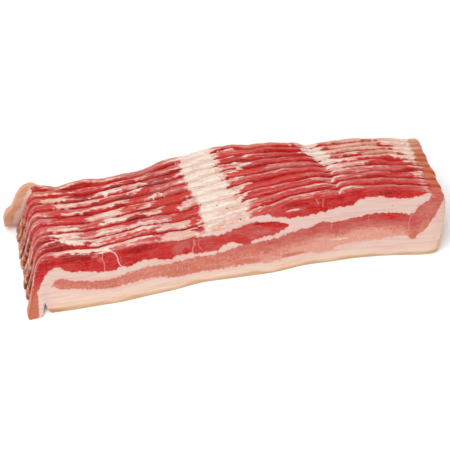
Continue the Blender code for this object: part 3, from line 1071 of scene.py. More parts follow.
    def fields(self, at: CutPoints) -> dict[str, Array]:
        """Return everything that the relief and the finish read.

        Args:
            at: the points of one rasher.

        Returns:
            One value for each point, by the field's name.
        """
        near_top = np.maximum(self.crown.share(at), self.hook_rim.share(at))
        cover = np.maximum(self.band.share(at), near_top) if at.number else near_top
        looks, edge = self.face_looks(at), self.edge_looks(at)
        looks["lean"] = np.minimum(looks["lean"], at.below - self.skin(at.x, at.number))
        for name, values in looks.items():
            looks[name] = values * (1.0 - cover) + edge[name] * cover
        looks["dried"] = np.maximum(looks["dried"], self.dried(at))
        fat_tone = self.fat_tone(at, edge["fat_tone"], cover)
        if at.number == self.back_rasher:
            flap = self.flap.share(at)
            flap_lean = np.maximum(self.flap_tan - at.outer, at.outer - self.flap_white)
            flap_lean = np.clip(flap_lean, *self.flap_lean)
            looks["lean"] = looks["lean"] * (1.0 - flap) + flap_lean * flap
            fat_tone = fat_tone + (self.flap_tone - fat_tone) * flap * self.flap_rim.share(at)
        lip = self.seam_lip(at) * near_top
        fat_tone = fat_tone + (self.lip_fat_tone - fat_tone) * lip
        lean = looks["lean"] - self.lip_fat * lip
        looks["lean"] = np.clip(lean, -self.lean_limit, self.lean_limit)
        inner = 0 < at.number < self.back_rasher
        return {**looks, **self.seams(at), "fat_tone": fat_tone, "near_top": near_top,
                "rust": self.crumbs.share(at) * inner, "lift": lip * self.lip_height}

    def face_looks(self, at: CutPoints) -> dict[str, Array]:
        """Return a face's looks: the front one has its blots, hidden hooks a film of painted light.

        Args:
            at: the points of one rasher.

        Returns:
            One value for each point, by the field's name.
        """
        looks = {"lean": self.face_lean(at), "tone": self.face_tone(at)}
        looks.update({name: np.zeros_like(at.x) for name in ("film", "wet", "dried")})
        if at.number == 0:
            self.lay(looks, FACE_BLOTS, at.x, at.v, 1.0)
        else:
            # Painted light over the shade in the crevices of the hook fan.
            looks["film"] = self.crevice_light_film.share(at)
        return looks

    def edge_looks(self, at: CutPoints) -> dict[str, Array]:
        """Return the looks of the edge: blots, the hook, and a film and a pale line that are partly
        painted highlight.

        Args:
            at: the points of one rasher.

        Returns:
            One value for each point, by the field's name.
        """
        x, depth, number = at.x, at.depth, at.number
        lean = at.below - self.skin(x, number)
        # The film on the tops is partly real grey-pink film and partly a painted highlight along
        # each top edge.
        edge = {"lean": np.clip(lean, -self.lean_limit, self.edge_lean_limit),
                "film": self.edge_film_and_sheen.share(at, self.film_and_sheen_line.at(x)),
                "tone": self.edge_tone - self.edge_tone_loss.share(at),
                "wet": np.zeros_like(x), "dried": np.zeros_like(x),
                "fat_tone": np.full_like(x, self.edge_fat_tone)}
        slant = self.blot_slant * (depth - 0.5)
        drift = x + self.blot_wave_drift * depth
        slant = slant + self.form.ripple(self.blot_wave, drift, number)
        uneven = self.form.ripple(self.blot_side_wave, x, number)
        self.lay(edge, EDGE_BLOTS[number], x - slant, depth + uneven,
                 smooth_step(self.patch.room(x, number), *self.blot_fade))
        self.dress_hook(edge, at)
        # Painted highlight, partly real fat: a broken pale line along the front of each top edge.
        wave = self.form.ripple(self.sheen_fat_line_wave, x, number)
        gaps = smooth_step(wave, *self.sheen_fat_line_gaps)
        line = self.sheen_fat_line_left.share(at, self.sheen_fat_line.share(at) * gaps)
        line = line * (1.0 - edge["wet"]) * (1.0 - self.sheen_fat_line_under_film * edge["film"])
        edge["lean"] = edge["lean"] - self.sheen_fat_line_amount * line
        return edge

    def face_lean(self, at: CutPoints) -> Array:
        """Return how far inside the lean of a rasher's layers each point is.

        Args:
            at: the points of one rasher.

        Returns:
            Millimetres, negative in fat.
        """
        x = at.x + self.layer_shift.at(at.x) * at.number / (self.form.count - 1)
        upper = np.minimum(self.upper_bottom.above(x, at.v), -self.cap_bottom.above(x, at.v))
        lower = np.minimum(-self.lower_top.above(x, at.v), self.lower_bottom.above(x, at.v))
        return np.maximum(np.maximum(upper, self.right_bottom.above(x, at.v)), lower)

    def face_tone(self, at: CutPoints) -> Array:
        """Return how deep the red of a face's lean is.

        Args:
            at: the points of one rasher.

        Returns:
            From salmon at 0 to dark red at 1.
        """
        x, v = at.x, at.v
        low, high = self.lower_bottom.at(x), self.lower_top.at(x)
        rise = smooth_step((v - low) / np.maximum(high - low, 1.0), *self.low_tone_rise)
        low_lean = self.low_tone.at(x) + (self.high_tone.at(x) - self.low_tone.at(x)) * rise
        tone = self.upper_tone - self.lens.share(at)
        tone = tone + (low_lean - tone) * smooth_step(high - v, *self.low_tone_top)
        hook = self.hook.share(at)
        tone = tone * (1.0 - hook) + self.hook_tone * hook
        if at.number:
            strip = self.lean_strip.share(at) * (1.0 - hook)
            tone = np.maximum(tone, self.strip_tone.at(x) * strip)
            # Painted shade in the crevices of the hook fan.
            tone = tone + (self.crevice_shade_tone - tone) * self.crevice_shade.share(at)
        return tone

    def fat_tone(self, at: CutPoints, edge_tone: Array, cover: Array) -> Array:
        """Return the fat's colour, with the rind at the foot and the dry skin of the right end.

        Args:
            at: the points of one rasher.
            edge_tone: the colour of the edge's fat.
            cover: how much each point belongs to the edge, 0 to 1.

        Returns:
            White at 0, pink at 0.25, cream at 0.55 and tan at 1.
        """
        x, v = at.x, at.v
        rind_top = self.rind_top.at(x) + self.form.ripple(self.rind_wave, x, at.number)
        off_skin = np.abs(v - rind_top - self.under_skin_gap)
        under_skin = self.under_skin_share * smooth_step(off_skin, *self.under_skin_turn)
        end = smooth_step(x - self.end_skin.at(v), *self.end_skin_turn)
        rind = np.maximum(smooth_step(v - rind_top, *self.rind_turn), under_skin)
        rind = np.maximum(np.maximum(rind, self.end_foot.share(at, end)),
                          self.right_rim.share(at, cover))
        warm = self.fat_warmth.at(x) * smooth_step(self.lower_bottom.at(x) - v, *self.warm_turn)
        strip = self.fat_strip.share(at) if at.number else 0.0
        tone = (self.face_fat_tone + warm) * (1.0 - strip) + self.strip_fat_tone * strip
        tone = tone * (1.0 - cover) + edge_tone * cover
        return tone + (1.0 - tone) * rind

    def seams(self, at: CutPoints) -> dict[str, Array]:
        """Return the fine fat seams of a rasher's face; only the front one has them.

        Args:
            at: the points of one rasher.

        Returns:
            How clearly a seam shows at each point, and how far to its side the point lies.
        """
        vein = np.zeros_like(at.x)
        side = np.full_like(at.x, self.seam_side)
        for seam in self.face_seams if at.number == 0 else ():
            nearest, beside = seam.gaps(at.x, at.v)
            near = smooth_step(nearest, *self.seam_reach)
            vein = np.maximum(vein, seam.strength * near)
            side = np.where(near > 0.0, np.clip(beside, -self.seam_side, self.seam_side), side)
        return {"vein": vein, "vein_side": side}

    def skin(self, x: Array, number: int) -> Array:
        """Return the thickness of the fat under the top edge.

        Args:
            x: places along the rasher.
            number: the rasher.

        Returns:
            The thickness, negative where lean shows.
        """
        thickness = self.bare_skin.at(x)
        for span in (self.patch, *self.more_fat):
            thickness = np.maximum(thickness, span.thickness(x, number))
        return thickness

    def seam_lip(self, at: CutPoints) -> Array:
        """Return how much each point belongs to the white lip that curls up at the fold.

        Args:
            at: the points of one rasher.

        Returns:
            The share, 0 to 1.
        """
        if at.number > self.last_lip:
            return np.zeros_like(at.x)
        start = self.lip_x[0] + (self.lip_x[1] - self.lip_x[0]) * at.number / self.last_lip
        start = start + self.lip_jitter * math.sin(self.lip_jitter_turn * at.number)
        past = at.x - start
        off = np.abs(past - self.lip_run * at.depth)
        rise = smooth_step(off, self.lip_half_width, self.lip_core * self.lip_half_width)
        tail = self.lip_tail.share(at) * smooth_step(past, *self.lip_tail_start)
        tail = tail * smooth_step(past, *self.lip_tail_end)
        return np.maximum(self.lip_base.share(at, rise), self.lip_tail_share * tail)

    def dress_hook(self, edge: dict[str, Array], at: CutPoints) -> None:
        """Lay the hook's pale front line and its bare red side over an edge's looks.

        Args:
            edge: values for each point by the field's name; they are changed.
            at: the points of one rasher.
        """
        hook, line_fat = self.hook_side.share(at), self.hook_line_fat
        if at.number == 0:
            hook, line_fat = hook * self.front_hook_share, self.front_hook_line_fat
        edge["lean"] -= line_fat * self.hook_line.share(at, hook)
        brown = self.hook_brown.share(at, hook)
        edge["tone"] += (self.hook_brown_tone - edge["tone"]) * brown
        edge["film"] *= 1.0 - brown

    @staticmethod
    def lay(looks: dict[str, Array], marks: tuple[Blot, ...], x: Array, height: Array,
            share: Array | float) -> None:
        """Lay blots over some looks, the later ones on top.

        Args:
            looks: values for each point by the field's name; they are changed.
            marks: the blots.
            x: places along the rasher.
            height: heights in the blots' measure.
            share: how much of the blots to lay; those of PATCH_TISSUES are laid in full.
        """
        for blot in marks:
            look = blot.tissue.value
            weight = blot.weight(x, height) * (1.0 if blot.tissue in PATCH_TISSUES else share)
            for name, values in looks.items():
                if name != "tone" or look.lean > -0.5:
                    values += (getattr(look, name) - values) * weight

    def dried(self, at: CutPoints) -> Array:
        """Return where the surface has dried to tan: outer skin, hook tips and right ends.

        Args:
            at: the points of one rasher.

        Returns:
            The share of tan, 0 to 1.
        """
        on_band = smooth_step(np.minimum(at.depth, 1.0 - at.depth), *self.band_turn)
        tip = self.dry_tip.share(at)
        if at.number == 0:
            inside = smooth_step(self.upper_bottom.above(at.x, at.v), *self.dry_tip_lean)
            face_share, band_share = self.dry_tip_front
            tip = tip * (face_share + band_share * on_band) * inside
        else:
            tip = tip * self.dry_tip_inner
        tip = np.maximum(tip, self.dry_corner.share(at))
        right = smooth_step(at.x - self.dry_right_shift * at.number, *self.dry_right)
        right = right * np.maximum(on_band, self.dry_right_face.share(at) * (at.number > 0))
        fresh_rim = self.dry_rim_loss * self.right_rim.share(at)
        right = right * self.end_dried.at(at.number) * (1.0 - fresh_rim)
        dried = np.maximum(tip, np.maximum(right, self.dry_right_hint.share(at)))
        if at.number == self.back_rasher:
            flap = self.dry_flap.share(at) * self.flap_rim.share(at)
            top = sum(region.share(at) for region in self.dry_back_top)
            top = on_band * self.dry_back_share * top
            dried = np.maximum(np.maximum(dried, flap), top)
        return dried


# ---------------------------------------------------------------------------- node trees


class Board:
    """A node tree under construction, with short ways to add and join nodes."""

    def __init__(self, tree: bpy.types.NodeTree) -> None:
        """Take the tree to build in."""
        self.tree = tree

    def add(self, kind: str, inputs: dict | None = None, **settings: object) -> bpy.types.Node:
        """Add a node.

        Args:
            kind: the node's Blender type.
            inputs: values or sockets by the input's name or place.
            settings: the node's own settings.

        Returns:
            The new node.
        """
        node = self.tree.nodes.new(kind)
        for name, value in settings.items():
            setattr(node, name, value)
        for name, value in (inputs or {}).items():
            self.feed(node.inputs[name], value)
        return node

    def feed(self, socket: Socket, value: object) -> None:
        """Link a socket to an input, or set the input's value.

        Args:
            socket: the input.
            value: an output socket, or a plain value.
        """
        if isinstance(value, Socket):
            self.tree.links.new(value, socket)
        else:
            socket.default_value = value

    def math(self, operation: str, *values: object, clamp: bool = False) -> Socket:
        """Return the result of a Math node on numbers or sockets."""
        settings = {"operation": operation, "use_clamp": clamp}
        return self.add("ShaderNodeMath", dict(enumerate(values)), **settings).outputs[0]

    def swing(self, value: Socket, size: float) -> Socket:
        """Return a value of 0 to 1 turned to lie between half of size below and above 0."""
        return self.math("MULTIPLY_ADD", value, size, -size / 2.0)

    def times(self, vector: Socket, factor: Socket) -> Socket:
        """Return a vector multiplied by one number."""
        inputs = {"Vector": vector, "Scale": factor}
        return self.add("ShaderNodeVectorMath", inputs, operation="SCALE").outputs[0]

    def grain(self, place: Socket, stretch: Triple, detail: float = 2.0, roughness: float = 0.5,
              distortion: float = 0.0) -> Socket:
        """Return a noise texture's value, 0 to 1.

        Args:
            place: where to read the noise.
            stretch: how often it changes along each axis.
            detail: how many finer layers it has.
            roughness: how strong the finer layers are.
            distortion: how far it is warped.

        Returns:
            The value.
        """
        scaled = self.add("ShaderNodeVectorMath", {0: place, 1: stretch}, operation="MULTIPLY")
        inputs = {"Vector": scaled.outputs[0], "Scale": 1.0, "Detail": detail,
                  "Roughness": roughness, "Distortion": distortion}
        return self.add("ShaderNodeTexNoise", inputs, noise_dimensions="3D").outputs[0]

    def remap(self, value: Socket, low: object, high: object, start: float = 0.0,
              end: float = 1.0) -> Socket:
        """Return value turned smoothly from start at low to end at high."""
        inputs = {0: value, 1: low, 2: high, 3: start, 4: end}
        return self.add("ShaderNodeMapRange", inputs, interpolation_type="SMOOTHSTEP").outputs[0]

    def layers(self, colour: Socket, *layers: tuple[Socket, object]) -> Socket:
        """Return a colour with others mixed over it.

        Args:
            colour: the colour at the bottom.
            layers: the share, 0 to 1, and the colour of each layer, from the lowest up.

        Returns:
            The mixed colour.
        """
        for share, above in layers:
            node = self.add("ShaderNodeMix", {0: share}, data_type="RGBA")
            self.feed(node.inputs[6], colour)
            self.feed(node.inputs[7], above)
            colour = node.outputs[2]
        return colour

    def ramp(self, value: Socket, stops: Stops) -> Socket:
        """Return the colour of a ramp.

        Args:
            value: where on the ramp, 0 to 1.
            stops: the ramp's places and their colours.

        Returns:
            The colour.
        """
        node = self.add("ShaderNodeValToRGB", {0: value})
        elements = node.color_ramp.elements
        while len(elements) < len(stops):
            elements.new(0.5)
        for element, (place, colour) in zip(elements, stops):
            element.position = place
            element.color = colour
        return node.outputs[0]

    def attribute(self, name: str, kind: str = "FLOAT") -> Socket:
        """Return a named attribute, in a Geometry Nodes tree."""
        kind_of = {"data_type": kind}
        return self.add("GeometryNodeInputNamedAttribute", {"Name": name}, **kind_of).outputs[0]

    def finish(self, out: bpy.types.Node, shapes: Socket, material: Socket) -> None:
        """End a Geometry Nodes tree: make the instances real and set the material.

        Args:
            out: the tree's output node.
            shapes: the geometry.
            material: the material.
        """
        real = self.add("GeometryNodeRealizeInstances", {0: shapes})
        dressed = self.add("GeometryNodeSetMaterial", {"Geometry": real.outputs[0],
                                                       "Material": material})
        self.feed(out.inputs[0], dressed.outputs[0])


class SocketKind(Enum):
    """The kinds of socket that the trees' interfaces use."""

    NUMBER = "NodeSocketFloat"
    VECTOR = "NodeSocketVector"
    GEOMETRY = "NodeSocketGeometry"
    MATERIAL = "NodeSocketMaterial"


def new_tree(name: str, kind: str, inputs: dict[str, SocketKind],
             outputs: dict[str, SocketKind]) -> tuple[Board, dict[str, Socket], bpy.types.Node]:
    """Start a node tree with named inputs and outputs.

    Args:
        name: the tree's name.
        kind: the tree's Blender type.
        inputs: the kind of each input.
        outputs: the kind of each output.

    Returns:
        The board, the input sockets by name, and the output node.
    """
    tree = bpy.data.node_groups.new(name, kind)
    for label, socket in inputs.items():
        tree.interface.new_socket(label, in_out="INPUT", socket_type=socket.value)
    for label, socket in outputs.items():
        tree.interface.new_socket(label, in_out="OUTPUT", socket_type=socket.value)
    board = Board(tree)
    entry = board.add("NodeGroupInput")
    sockets = {label: entry.outputs[label] for label in inputs}
    return board, sockets, board.add("NodeGroupOutput")


def new_object(name: str, data: bpy.types.ID) -> bpy.types.Object:
    """Put data into the scene as a new object.

    Args:
        name: the object's name.
        data: its mesh, light or camera.

    Returns:
        The object.
    """
    thing = bpy.data.objects.new(name, data)
    bpy.context.scene.collection.objects.link(thing)
    return thing


def bake_tree(piece: bpy.types.Object, tree: bpy.types.NodeTree,
              values: dict[str, object]) -> None:
    """Run a Geometry Nodes tree on a piece and keep the result as its plain mesh.

    Args:
        piece: the object whose mesh goes in.
        tree: the tree to run.
        values: the tree's inputs by name.
    """
    modifier = piece.modifiers.new(tree.name, "NODES")
    modifier.node_group = tree
    for item in tree.interface.items_tree:
        if item.in_out == "INPUT" and item.name in values:
            modifier[item.identifier] = values[item.name]
    depsgraph = bpy.context.evaluated_depsgraph_get()
    mesh = bpy.data.meshes.new_from_object(piece.evaluated_get(depsgraph),
                                           preserve_all_data_layers=True, depsgraph=depsgraph)
    piece.modifiers.remove(modifier)
    plain = piece.data
    piece.data = mesh
    bpy.data.meshes.remove(plain)
    mesh.name = piece.name


@dataclass(frozen=True)
class ReliefTree:
    """Geometry Nodes that raise fat over lean and roughen the cut surfaces.

    Attributes:
        fat_height: how far fat stands over lean.
        fibre_height: how high the lean's fibres are.
        lump_height: how high the lumps of the top edges are.
    """

    fat_height: float = 0.10
    fibre_height: float = 0.07
    lump_height: float = 0.5

    def build(self) -> bpy.types.NodeTree:
        """Build the tree.

        Returns:
            The tree, which works on pieces with the fields of MeatPattern.
        """
        inputs = {"Geometry": SocketKind.GEOMETRY, "Fat Height": SocketKind.NUMBER,
                  "Fibre Height": SocketKind.NUMBER, "Lump Height": SocketKind.NUMBER,
                  "Meat": SocketKind.MATERIAL}
        board, given, out = new_tree("cut_relief", "GeometryNodeTree", inputs,
                                     {"Geometry": SocketKind.GEOMETRY})
        place = board.attribute("cut_place", "FLOAT_VECTOR")
        lean, near_top, lift = (board.attribute(name) for name in ("lean", "near_top", "lift"))
        wobble = board.math("SUBTRACT", board.grain(place, (0.2, 0.4, 0.4)), 0.5)
        fat = board.remap(board.math("ADD", lean, wobble), 0.5, -0.5)
        fibre = board.math("SUBTRACT", board.grain(place, (0.16, 0.75, 0.75)), 0.5)
        lumps = board.grain(place, (0.16, 0.5, 0.45), 3.0, 0.6, 0.4)
        lumps = board.math("MULTIPLY", board.math("SUBTRACT", lumps, 0.5), near_top)
        height = board.math("MULTIPLY", fat, given["Fat Height"])
        for part, size in ((fibre, given["Fibre Height"]), (lumps, given["Lump Height"]),
                           (lift, MM)):
            height = board.math("MULTIPLY_ADD", part, size, height)
        up_face = board.add("ShaderNodeSeparateXYZ", {0: place}).outputs[1]
        height = board.math("MULTIPLY", height, board.remap(up_face, 0.3, 1.6))
        offset = board.times(board.add("GeometryNodeInputNormal").outputs[0], height)
        moved = board.add("GeometryNodeSetPosition", {"Geometry": given["Geometry"],
                                                      "Offset": offset})
        board.finish(out, moved.outputs[0], given["Meat"])
        return board.tree

    def values(self, material: bpy.types.Material) -> dict[str, object]:
        """Return the tree's inputs for pieces in metres."""
        return {"Fat Height": self.fat_height * MM, "Fibre Height": self.fibre_height * MM,
                "Lump Height": self.lump_height * MM, "Meat": material}


@dataclass(frozen=True)
class SpeckTree:
    """Geometry Nodes that set a flattened grain on every point of a mesh."""

    grain_detail: int = 2
    smallest: Triple = (0.6, 0.55, 0.4)
    largest: Triple = (1.3, 1.1, 0.8)
    seed: int = 31

    def build(self) -> bpy.types.NodeTree:
        """Build the tree.

        Returns:
            The tree, which reads each point's grain_size.
        """
        inputs = {"Geometry": SocketKind.GEOMETRY, "Grain Radius": SocketKind.NUMBER,
                  "Speck": SocketKind.MATERIAL}
        board, given, out = new_tree("scatter_specks", "GeometryNodeTree", inputs,
                                     {"Geometry": SocketKind.GEOMETRY})
        grain = board.add("GeometryNodeMeshIcoSphere", {"Radius": given["Grain Radius"],
                                                        "Subdivisions": self.grain_detail})
        size = board.add("FunctionNodeRandomValue", {"Seed": self.seed}, data_type="FLOAT_VECTOR")
        size.inputs[0].default_value = self.smallest
        size.inputs[1].default_value = self.largest
        scale = board.times(size.outputs[0], board.attribute("grain_size"))
        turn = board.add("FunctionNodeRandomValue", {"Seed": self.seed + 1},
                         data_type="FLOAT_VECTOR")
        turn.inputs[1].default_value = (2.0 * math.pi, 2.0 * math.pi, 2.0 * math.pi)
        spread = board.add("GeometryNodeInstanceOnPoints", {
            "Points": given["Geometry"], "Instance": grain.outputs[0], "Scale": scale,
            "Rotation": turn.outputs[0]})
        board.finish(out, spread.outputs[0], given["Speck"])
        return board.tree


# ---------------------------------------------------------------------------- finishes


class SharedEffects:
    """Shader node groups that the meat's finishes share."""

    def __init__(self) -> None:
        """Build the groups."""
        self.ragged_mask = self.build_ragged_mask()
        self.muscle_grain = self.build_muscle_grain()

    @staticmethod
    def build_ragged_mask() -> bpy.types.NodeTree:
        """Build the group that turns a signed distance into a mask with a ragged border.

        Returns:
            The group.
        """
        inputs = {"Distance": SocketKind.NUMBER, "Place": SocketKind.VECTOR,
                  "Edge Share": SocketKind.NUMBER}
        outputs = {"Mask": SocketKind.NUMBER, "Border": SocketKind.NUMBER}
        board, given, out = new_tree("ragged_mask", "ShaderNodeTree", inputs, outputs)
        broad = board.grain(given["Place"], (0.22, 0.2, 0.2))
        teeth = board.grain(given["Place"], (0.5, 0.2, 0.2), 2.0, 0.55)
        streaks = board.grain(given["Place"], (0.075, 0.75, 0.75), 3.0, 0.6, 0.5)
        cut = board.math("ADD", board.swing(broad, 1.6), board.swing(teeth, 3.2))
        edge = board.math("ADD", board.swing(teeth, 1.2), board.swing(streaks, 4.4))
        wobble = board.math("MULTIPLY_ADD", board.math("SUBTRACT", edge, cut), given["Edge Share"],
                            cut)
        distance = board.math("ADD", given["Distance"], wobble)
        soft = board.math("MULTIPLY_ADD", given["Edge Share"], 0.45, 0.35)
        mask = board.remap(distance, board.math("MULTIPLY", soft, -1.0), soft)
        board.feed(out.inputs["Mask"], mask)
        board.feed(out.inputs["Border"], board.remap(board.math("ABSOLUTE", distance), 0.9, 0.1))
        return board.tree

    @staticmethod
    def build_muscle_grain() -> bpy.types.NodeTree:
        """Build the group with the streaks, flecks, clouds and marbling of cut muscle.

        Returns:
            The group.
        """
        inputs = {"Place": SocketKind.VECTOR, "Fineness": SocketKind.NUMBER}
        grains = {"Streak": ((0.13, 1.1, 1.1), (3.0, 0.6), (0.3, 0.7)),
                  "Fleck": ((0.8, 0.5, 0.8), (3.0, 0.6, 1.0), (0.5, 0.66)),
                  "Cloud": ((0.08, 0.16, 0.16), (2.0,), (0.3, 0.7)),
                  "Marble": ((0.17, 0.45, 0.6), (4.0, 0.65, 1.2), (0.48, 0.64))}
        outputs = {label: SocketKind.NUMBER for label in grains}
        board, given, out = new_tree("muscle_grain", "ShaderNodeTree", inputs, outputs)
        place = board.times(given["Place"], given["Fineness"])
        for label, (stretch, shape, turn) in grains.items():
            value = board.grain(place, stretch, *shape)
            board.feed(out.inputs[label], board.remap(value, *turn))
        return board.tree


def new_material(name: str) -> tuple[bpy.types.Material, Board, bpy.types.Node]:
    """Start a material.

    Args:
        name: its name.

    Returns:
        The material, its board and its Principled shader.
    """
    material = bpy.data.materials.new(name)
    material.use_nodes = True
    return material, Board(material.node_tree), material.node_tree.nodes["Principled BSDF"]


@dataclass(frozen=True)
class MeatFinish:
    """Raw meat that reads its layers from the mesh: lean, fat, rind, film and dried skin."""

    name: str
    effects: SharedEffects
    gloss_roughness: float = 0.42
    lean_stops: Stops = (
        (0.0, paint(224, 154, 136)), (0.25, paint(207, 117, 97)), (0.5, paint(197, 95, 88)),
        (0.7, paint(193, 60, 56)), (0.86, paint(198, 24, 24)), (1.0, paint(154, 8, 14)))
    fat_stops: Stops = (
        (0.0, paint(236, 226, 212)), (0.22, paint(230, 196, 185)), (0.55, paint(239, 208, 190)),
        (0.8, paint(228, 190, 154)), (1.0, paint(210, 168, 126)))
    rust_stops: Stops = (
        (0.42, paint(118, 34, 22)), (0.5, paint(184, 76, 40)), (0.58, paint(204, 120, 78)),
        (0.67, paint(232, 200, 172)))
    fleck_colour: Colour = paint(240, 190, 172)
    marble_colour: Colour = paint(232, 170, 152)
    film_colour: Colour = paint(200, 138, 131)
    wet_colour: Colour = paint(193, 48, 34)
    fat_vein_colour: Colour = paint(223, 170, 154)
    stain_colour: Colour = paint(198, 160, 126)
    mottle_colour: Colour = paint(217, 168, 154)
    blush_colour: Colour = paint(224, 150, 138)
    dried_colour: Colour = paint(200, 116, 80)
    seam_colour: Colour = paint(238, 204, 194)
    fields: tuple[str, ...] = ("lean", "tone", "fat_tone", "film", "wet", "dried", "near_top",
                               "rust", "vein", "vein_side")

    def build(self) -> bpy.types.Material:
        """Build the material.

        Returns:
            The material.
        """
        material, board, shader = new_material(self.name)
        given = self.read(board)
        colour = board.layers(self.fat(board, given), (given["Mask"], self.lean(board, given)))
        board.feed(shader.inputs["Base Color"], self.over(board, given, colour))
        rough = board.math("MULTIPLY_ADD", given["Cloud"], 0.14, self.gloss_roughness - 0.07)
        rough = board.math("MULTIPLY_ADD", given["wet"], -0.2, rough)
        board.feed(shader.inputs["Roughness"], rough)
        coat = board.math("MULTIPLY_ADD", given["near_top"], 0.35, 0.05)
        coat = board.math("MULTIPLY_ADD", given["wet"], 0.4, coat)
        board.feed(shader.inputs["Coat Weight"], coat)
        shader.inputs["Coat Roughness"].default_value = 0.16
        shader.inputs["Specular IOR Level"].default_value = 0.16
        shader.inputs["Subsurface Weight"].default_value = 0.12
        shader.inputs["Subsurface Radius"].default_value = (1.0, 0.45, 0.35)
        shader.inputs["Subsurface Scale"].default_value = 0.0015
        height = board.math("MULTIPLY_ADD", given["Fleck"], 0.4, given["Streak"])
        bump = board.add("ShaderNodeBump", {"Strength": 0.5, "Distance": 0.00025,
                                            "Height": height})
        board.feed(shader.inputs["Normal"], bump.outputs[0])
        return material

    def read(self, board: Board) -> dict[str, Socket]:
        """Return what the finish reads.

        Args:
            board: the material's board.

        Returns:
            The mesh's fields, their place, the lean's mask and the grain, by name.
        """
        place = board.add("ShaderNodeAttribute", attribute_name="cut_place").outputs["Vector"]
        given = {name: board.add("ShaderNodeAttribute", attribute_name=name).outputs["Fac"]
                 for name in self.fields}
        mask = board.add("ShaderNodeGroup", {"Distance": given["lean"], "Place": place,
                                             "Edge Share": given["near_top"]},
                         node_tree=self.effects.ragged_mask)
        grain = board.add("ShaderNodeGroup", {"Place": place, "Fineness": 1.0},
                          node_tree=self.effects.muscle_grain)
        given.update({socket.name: socket for socket in (*mask.outputs, *grain.outputs)})
        return {**given, "Place": place}

    def lean(self, board: Board, given: dict[str, Socket]) -> Socket:
        """Return the colour of lean: red with flecks, marbling, smears, wet, and film with painted
        light.

        Args:
            board: the material's board.
            given: what the finish reads.

        Returns:
            The colour.
        """
        cloud, tone = given["Cloud"], given["tone"]
        deep = board.math("MULTIPLY_ADD", given["Streak"], 0.18, tone)
        deep = board.math("SUBTRACT", deep, 0.18)
        deep = board.math("MULTIPLY_ADD", cloud, 0.18, deep, clamp=True)
        fleck = board.math("MULTIPLY", given["Fleck"], board.remap(tone, 0.6, 0.1, 0.06, 0.46))
        fleck = board.math("MULTIPLY", fleck, board.math("MULTIPLY_ADD", cloud, 0.9, 0.45))
        marble = board.math("MULTIPLY", given["Marble"], board.remap(tone, 0.7, 0.1, 0.08, 0.34))
        smear = board.grain(given["Place"], (0.07, 0.75, 1.1), 3.0, 0.6, 0.4)
        smear = board.remap(smear, 0.5, 0.68, 0.0, 0.29)
        smear = board.math("MULTIPLY", smear, given["near_top"])
        # The film layer is partly real film and partly painted light: highlights on the tops, light
        # in the hook fan's crevices.
        film = board.math("MULTIPLY_ADD", cloud, 0.9, 0.35)
        film = board.math("MULTIPLY", given["film"], film, clamp=True)
        return board.layers(
            board.ramp(deep, self.lean_stops), (fleck, self.fleck_colour),
            (marble, self.marble_colour), (smear, self.film_colour),
            (board.math("MULTIPLY", given["wet"], 0.92), self.wet_colour),
            (film, self.film_colour))

    def fat(self, board: Board, given: dict[str, Socket]) -> Socket:
        """Return the colour of fat and rind, with veins, stains, mottles and a blush.

        Args:
            board: the material's board.
            given: what the finish reads.

        Returns:
            The colour.
        """
        tone = board.math("SUBTRACT", given["fat_tone"], 0.06)
        tone = board.math("MULTIPLY_ADD", given["Streak"], 0.12, tone, clamp=True)
        veins = board.grain(given["Place"], (0.04, 0.7, 0.7))
        stain = board.grain(given["Place"], (0.5, 0.9, 0.9), 4.0, 0.7)
        stain = board.math("MULTIPLY", board.remap(stain, 0.5, 0.66), given["near_top"])
        stain = board.math("MULTIPLY", stain, board.remap(tone, 0.22, 0.4, 0.5, 0.75))
        mottle = board.grain(given["Place"], (0.16, 0.9, 0.9), 3.0, 0.65, 0.5)
        mottle = board.math("MULTIPLY", board.remap(mottle, 0.48, 0.66), given["near_top"])
        mottle = board.math("MULTIPLY", mottle, board.remap(tone, 0.06, 0.22, 0.06, 0.6))
        return board.layers(
            board.ramp(tone, self.fat_stops),
            (board.remap(veins, 0.46, 0.66, 0.0, 0.46), self.fat_vein_colour),
            (stain, self.stain_colour), (mottle, self.mottle_colour),
            (board.math("MULTIPLY", given["Border"], 0.3), self.blush_colour))

    def over(self, board: Board, given: dict[str, Socket], colour: Socket) -> Socket:
        """Return a colour with dried tan, rust crumbs and the fine seams of fat over it.

        Args:
            board: the material's board.
            given: what the finish reads.
            colour: the colour below.

        Returns:
            The colour.
        """
        dried = board.math("MULTIPLY_ADD", given["Cloud"], 0.3, 0.8)
        dried = board.math("MULTIPLY", given["dried"], dried, clamp=True)
        crumbs = board.grain(given["Place"], (0.3, 0.24, 0.4), 3.0, 0.6)
        side = board.math("MULTIPLY_ADD", given["Streak"], 0.12, given["vein_side"])
        side = board.remap(board.math("ABSOLUTE", side), 0.48, 0.14)
        return board.layers(
            colour, (dried, self.dried_colour),
            (given["rust"], board.ramp(crumbs, self.rust_stops)),
            (board.math("MULTIPLY", side, given["vein"]), self.seam_colour))


@dataclass(frozen=True)
class SpeckFinish:
    """Ground pepper and cure: nearly black, dull and uneven."""

    name: str = "ground_pepper"

    def build(self) -> bpy.types.Material:
        """Build the material.

        Returns:
            The material.
        """
        material, board, shader = new_material(self.name)
        place = board.add("ShaderNodeTexCoord").outputs["Object"]
        cloud = board.add("ShaderNodeTexNoise", {"Vector": place, "Scale": 900.0, "Detail": 3.0})
        cloud = cloud.outputs[0]
        colour = board.ramp(cloud, ((0.35, paint(66, 34, 26)), (0.65, paint(128, 78, 56))))
        board.feed(shader.inputs["Base Color"], colour)
        board.feed(shader.inputs["Roughness"], board.remap(cloud, 0.3, 0.7, 0.55, 0.8))
        return material


@dataclass(frozen=True)
class FloorFinish:
    """A plain pale table."""

    name: str = "pale_table"

    def build(self) -> bpy.types.Material:
        """Build the material.

        Returns:
            The material.
        """
        material, _, shader = new_material(self.name)
        shader.inputs["Base Color"].default_value = (0.97, 0.97, 0.97, 1.0)
        shader.inputs["Roughness"].default_value = 0.9
        shader.inputs["Specular IOR Level"].default_value = 0.1
        return material


# ---------------------------------------------------------------------------- pieces


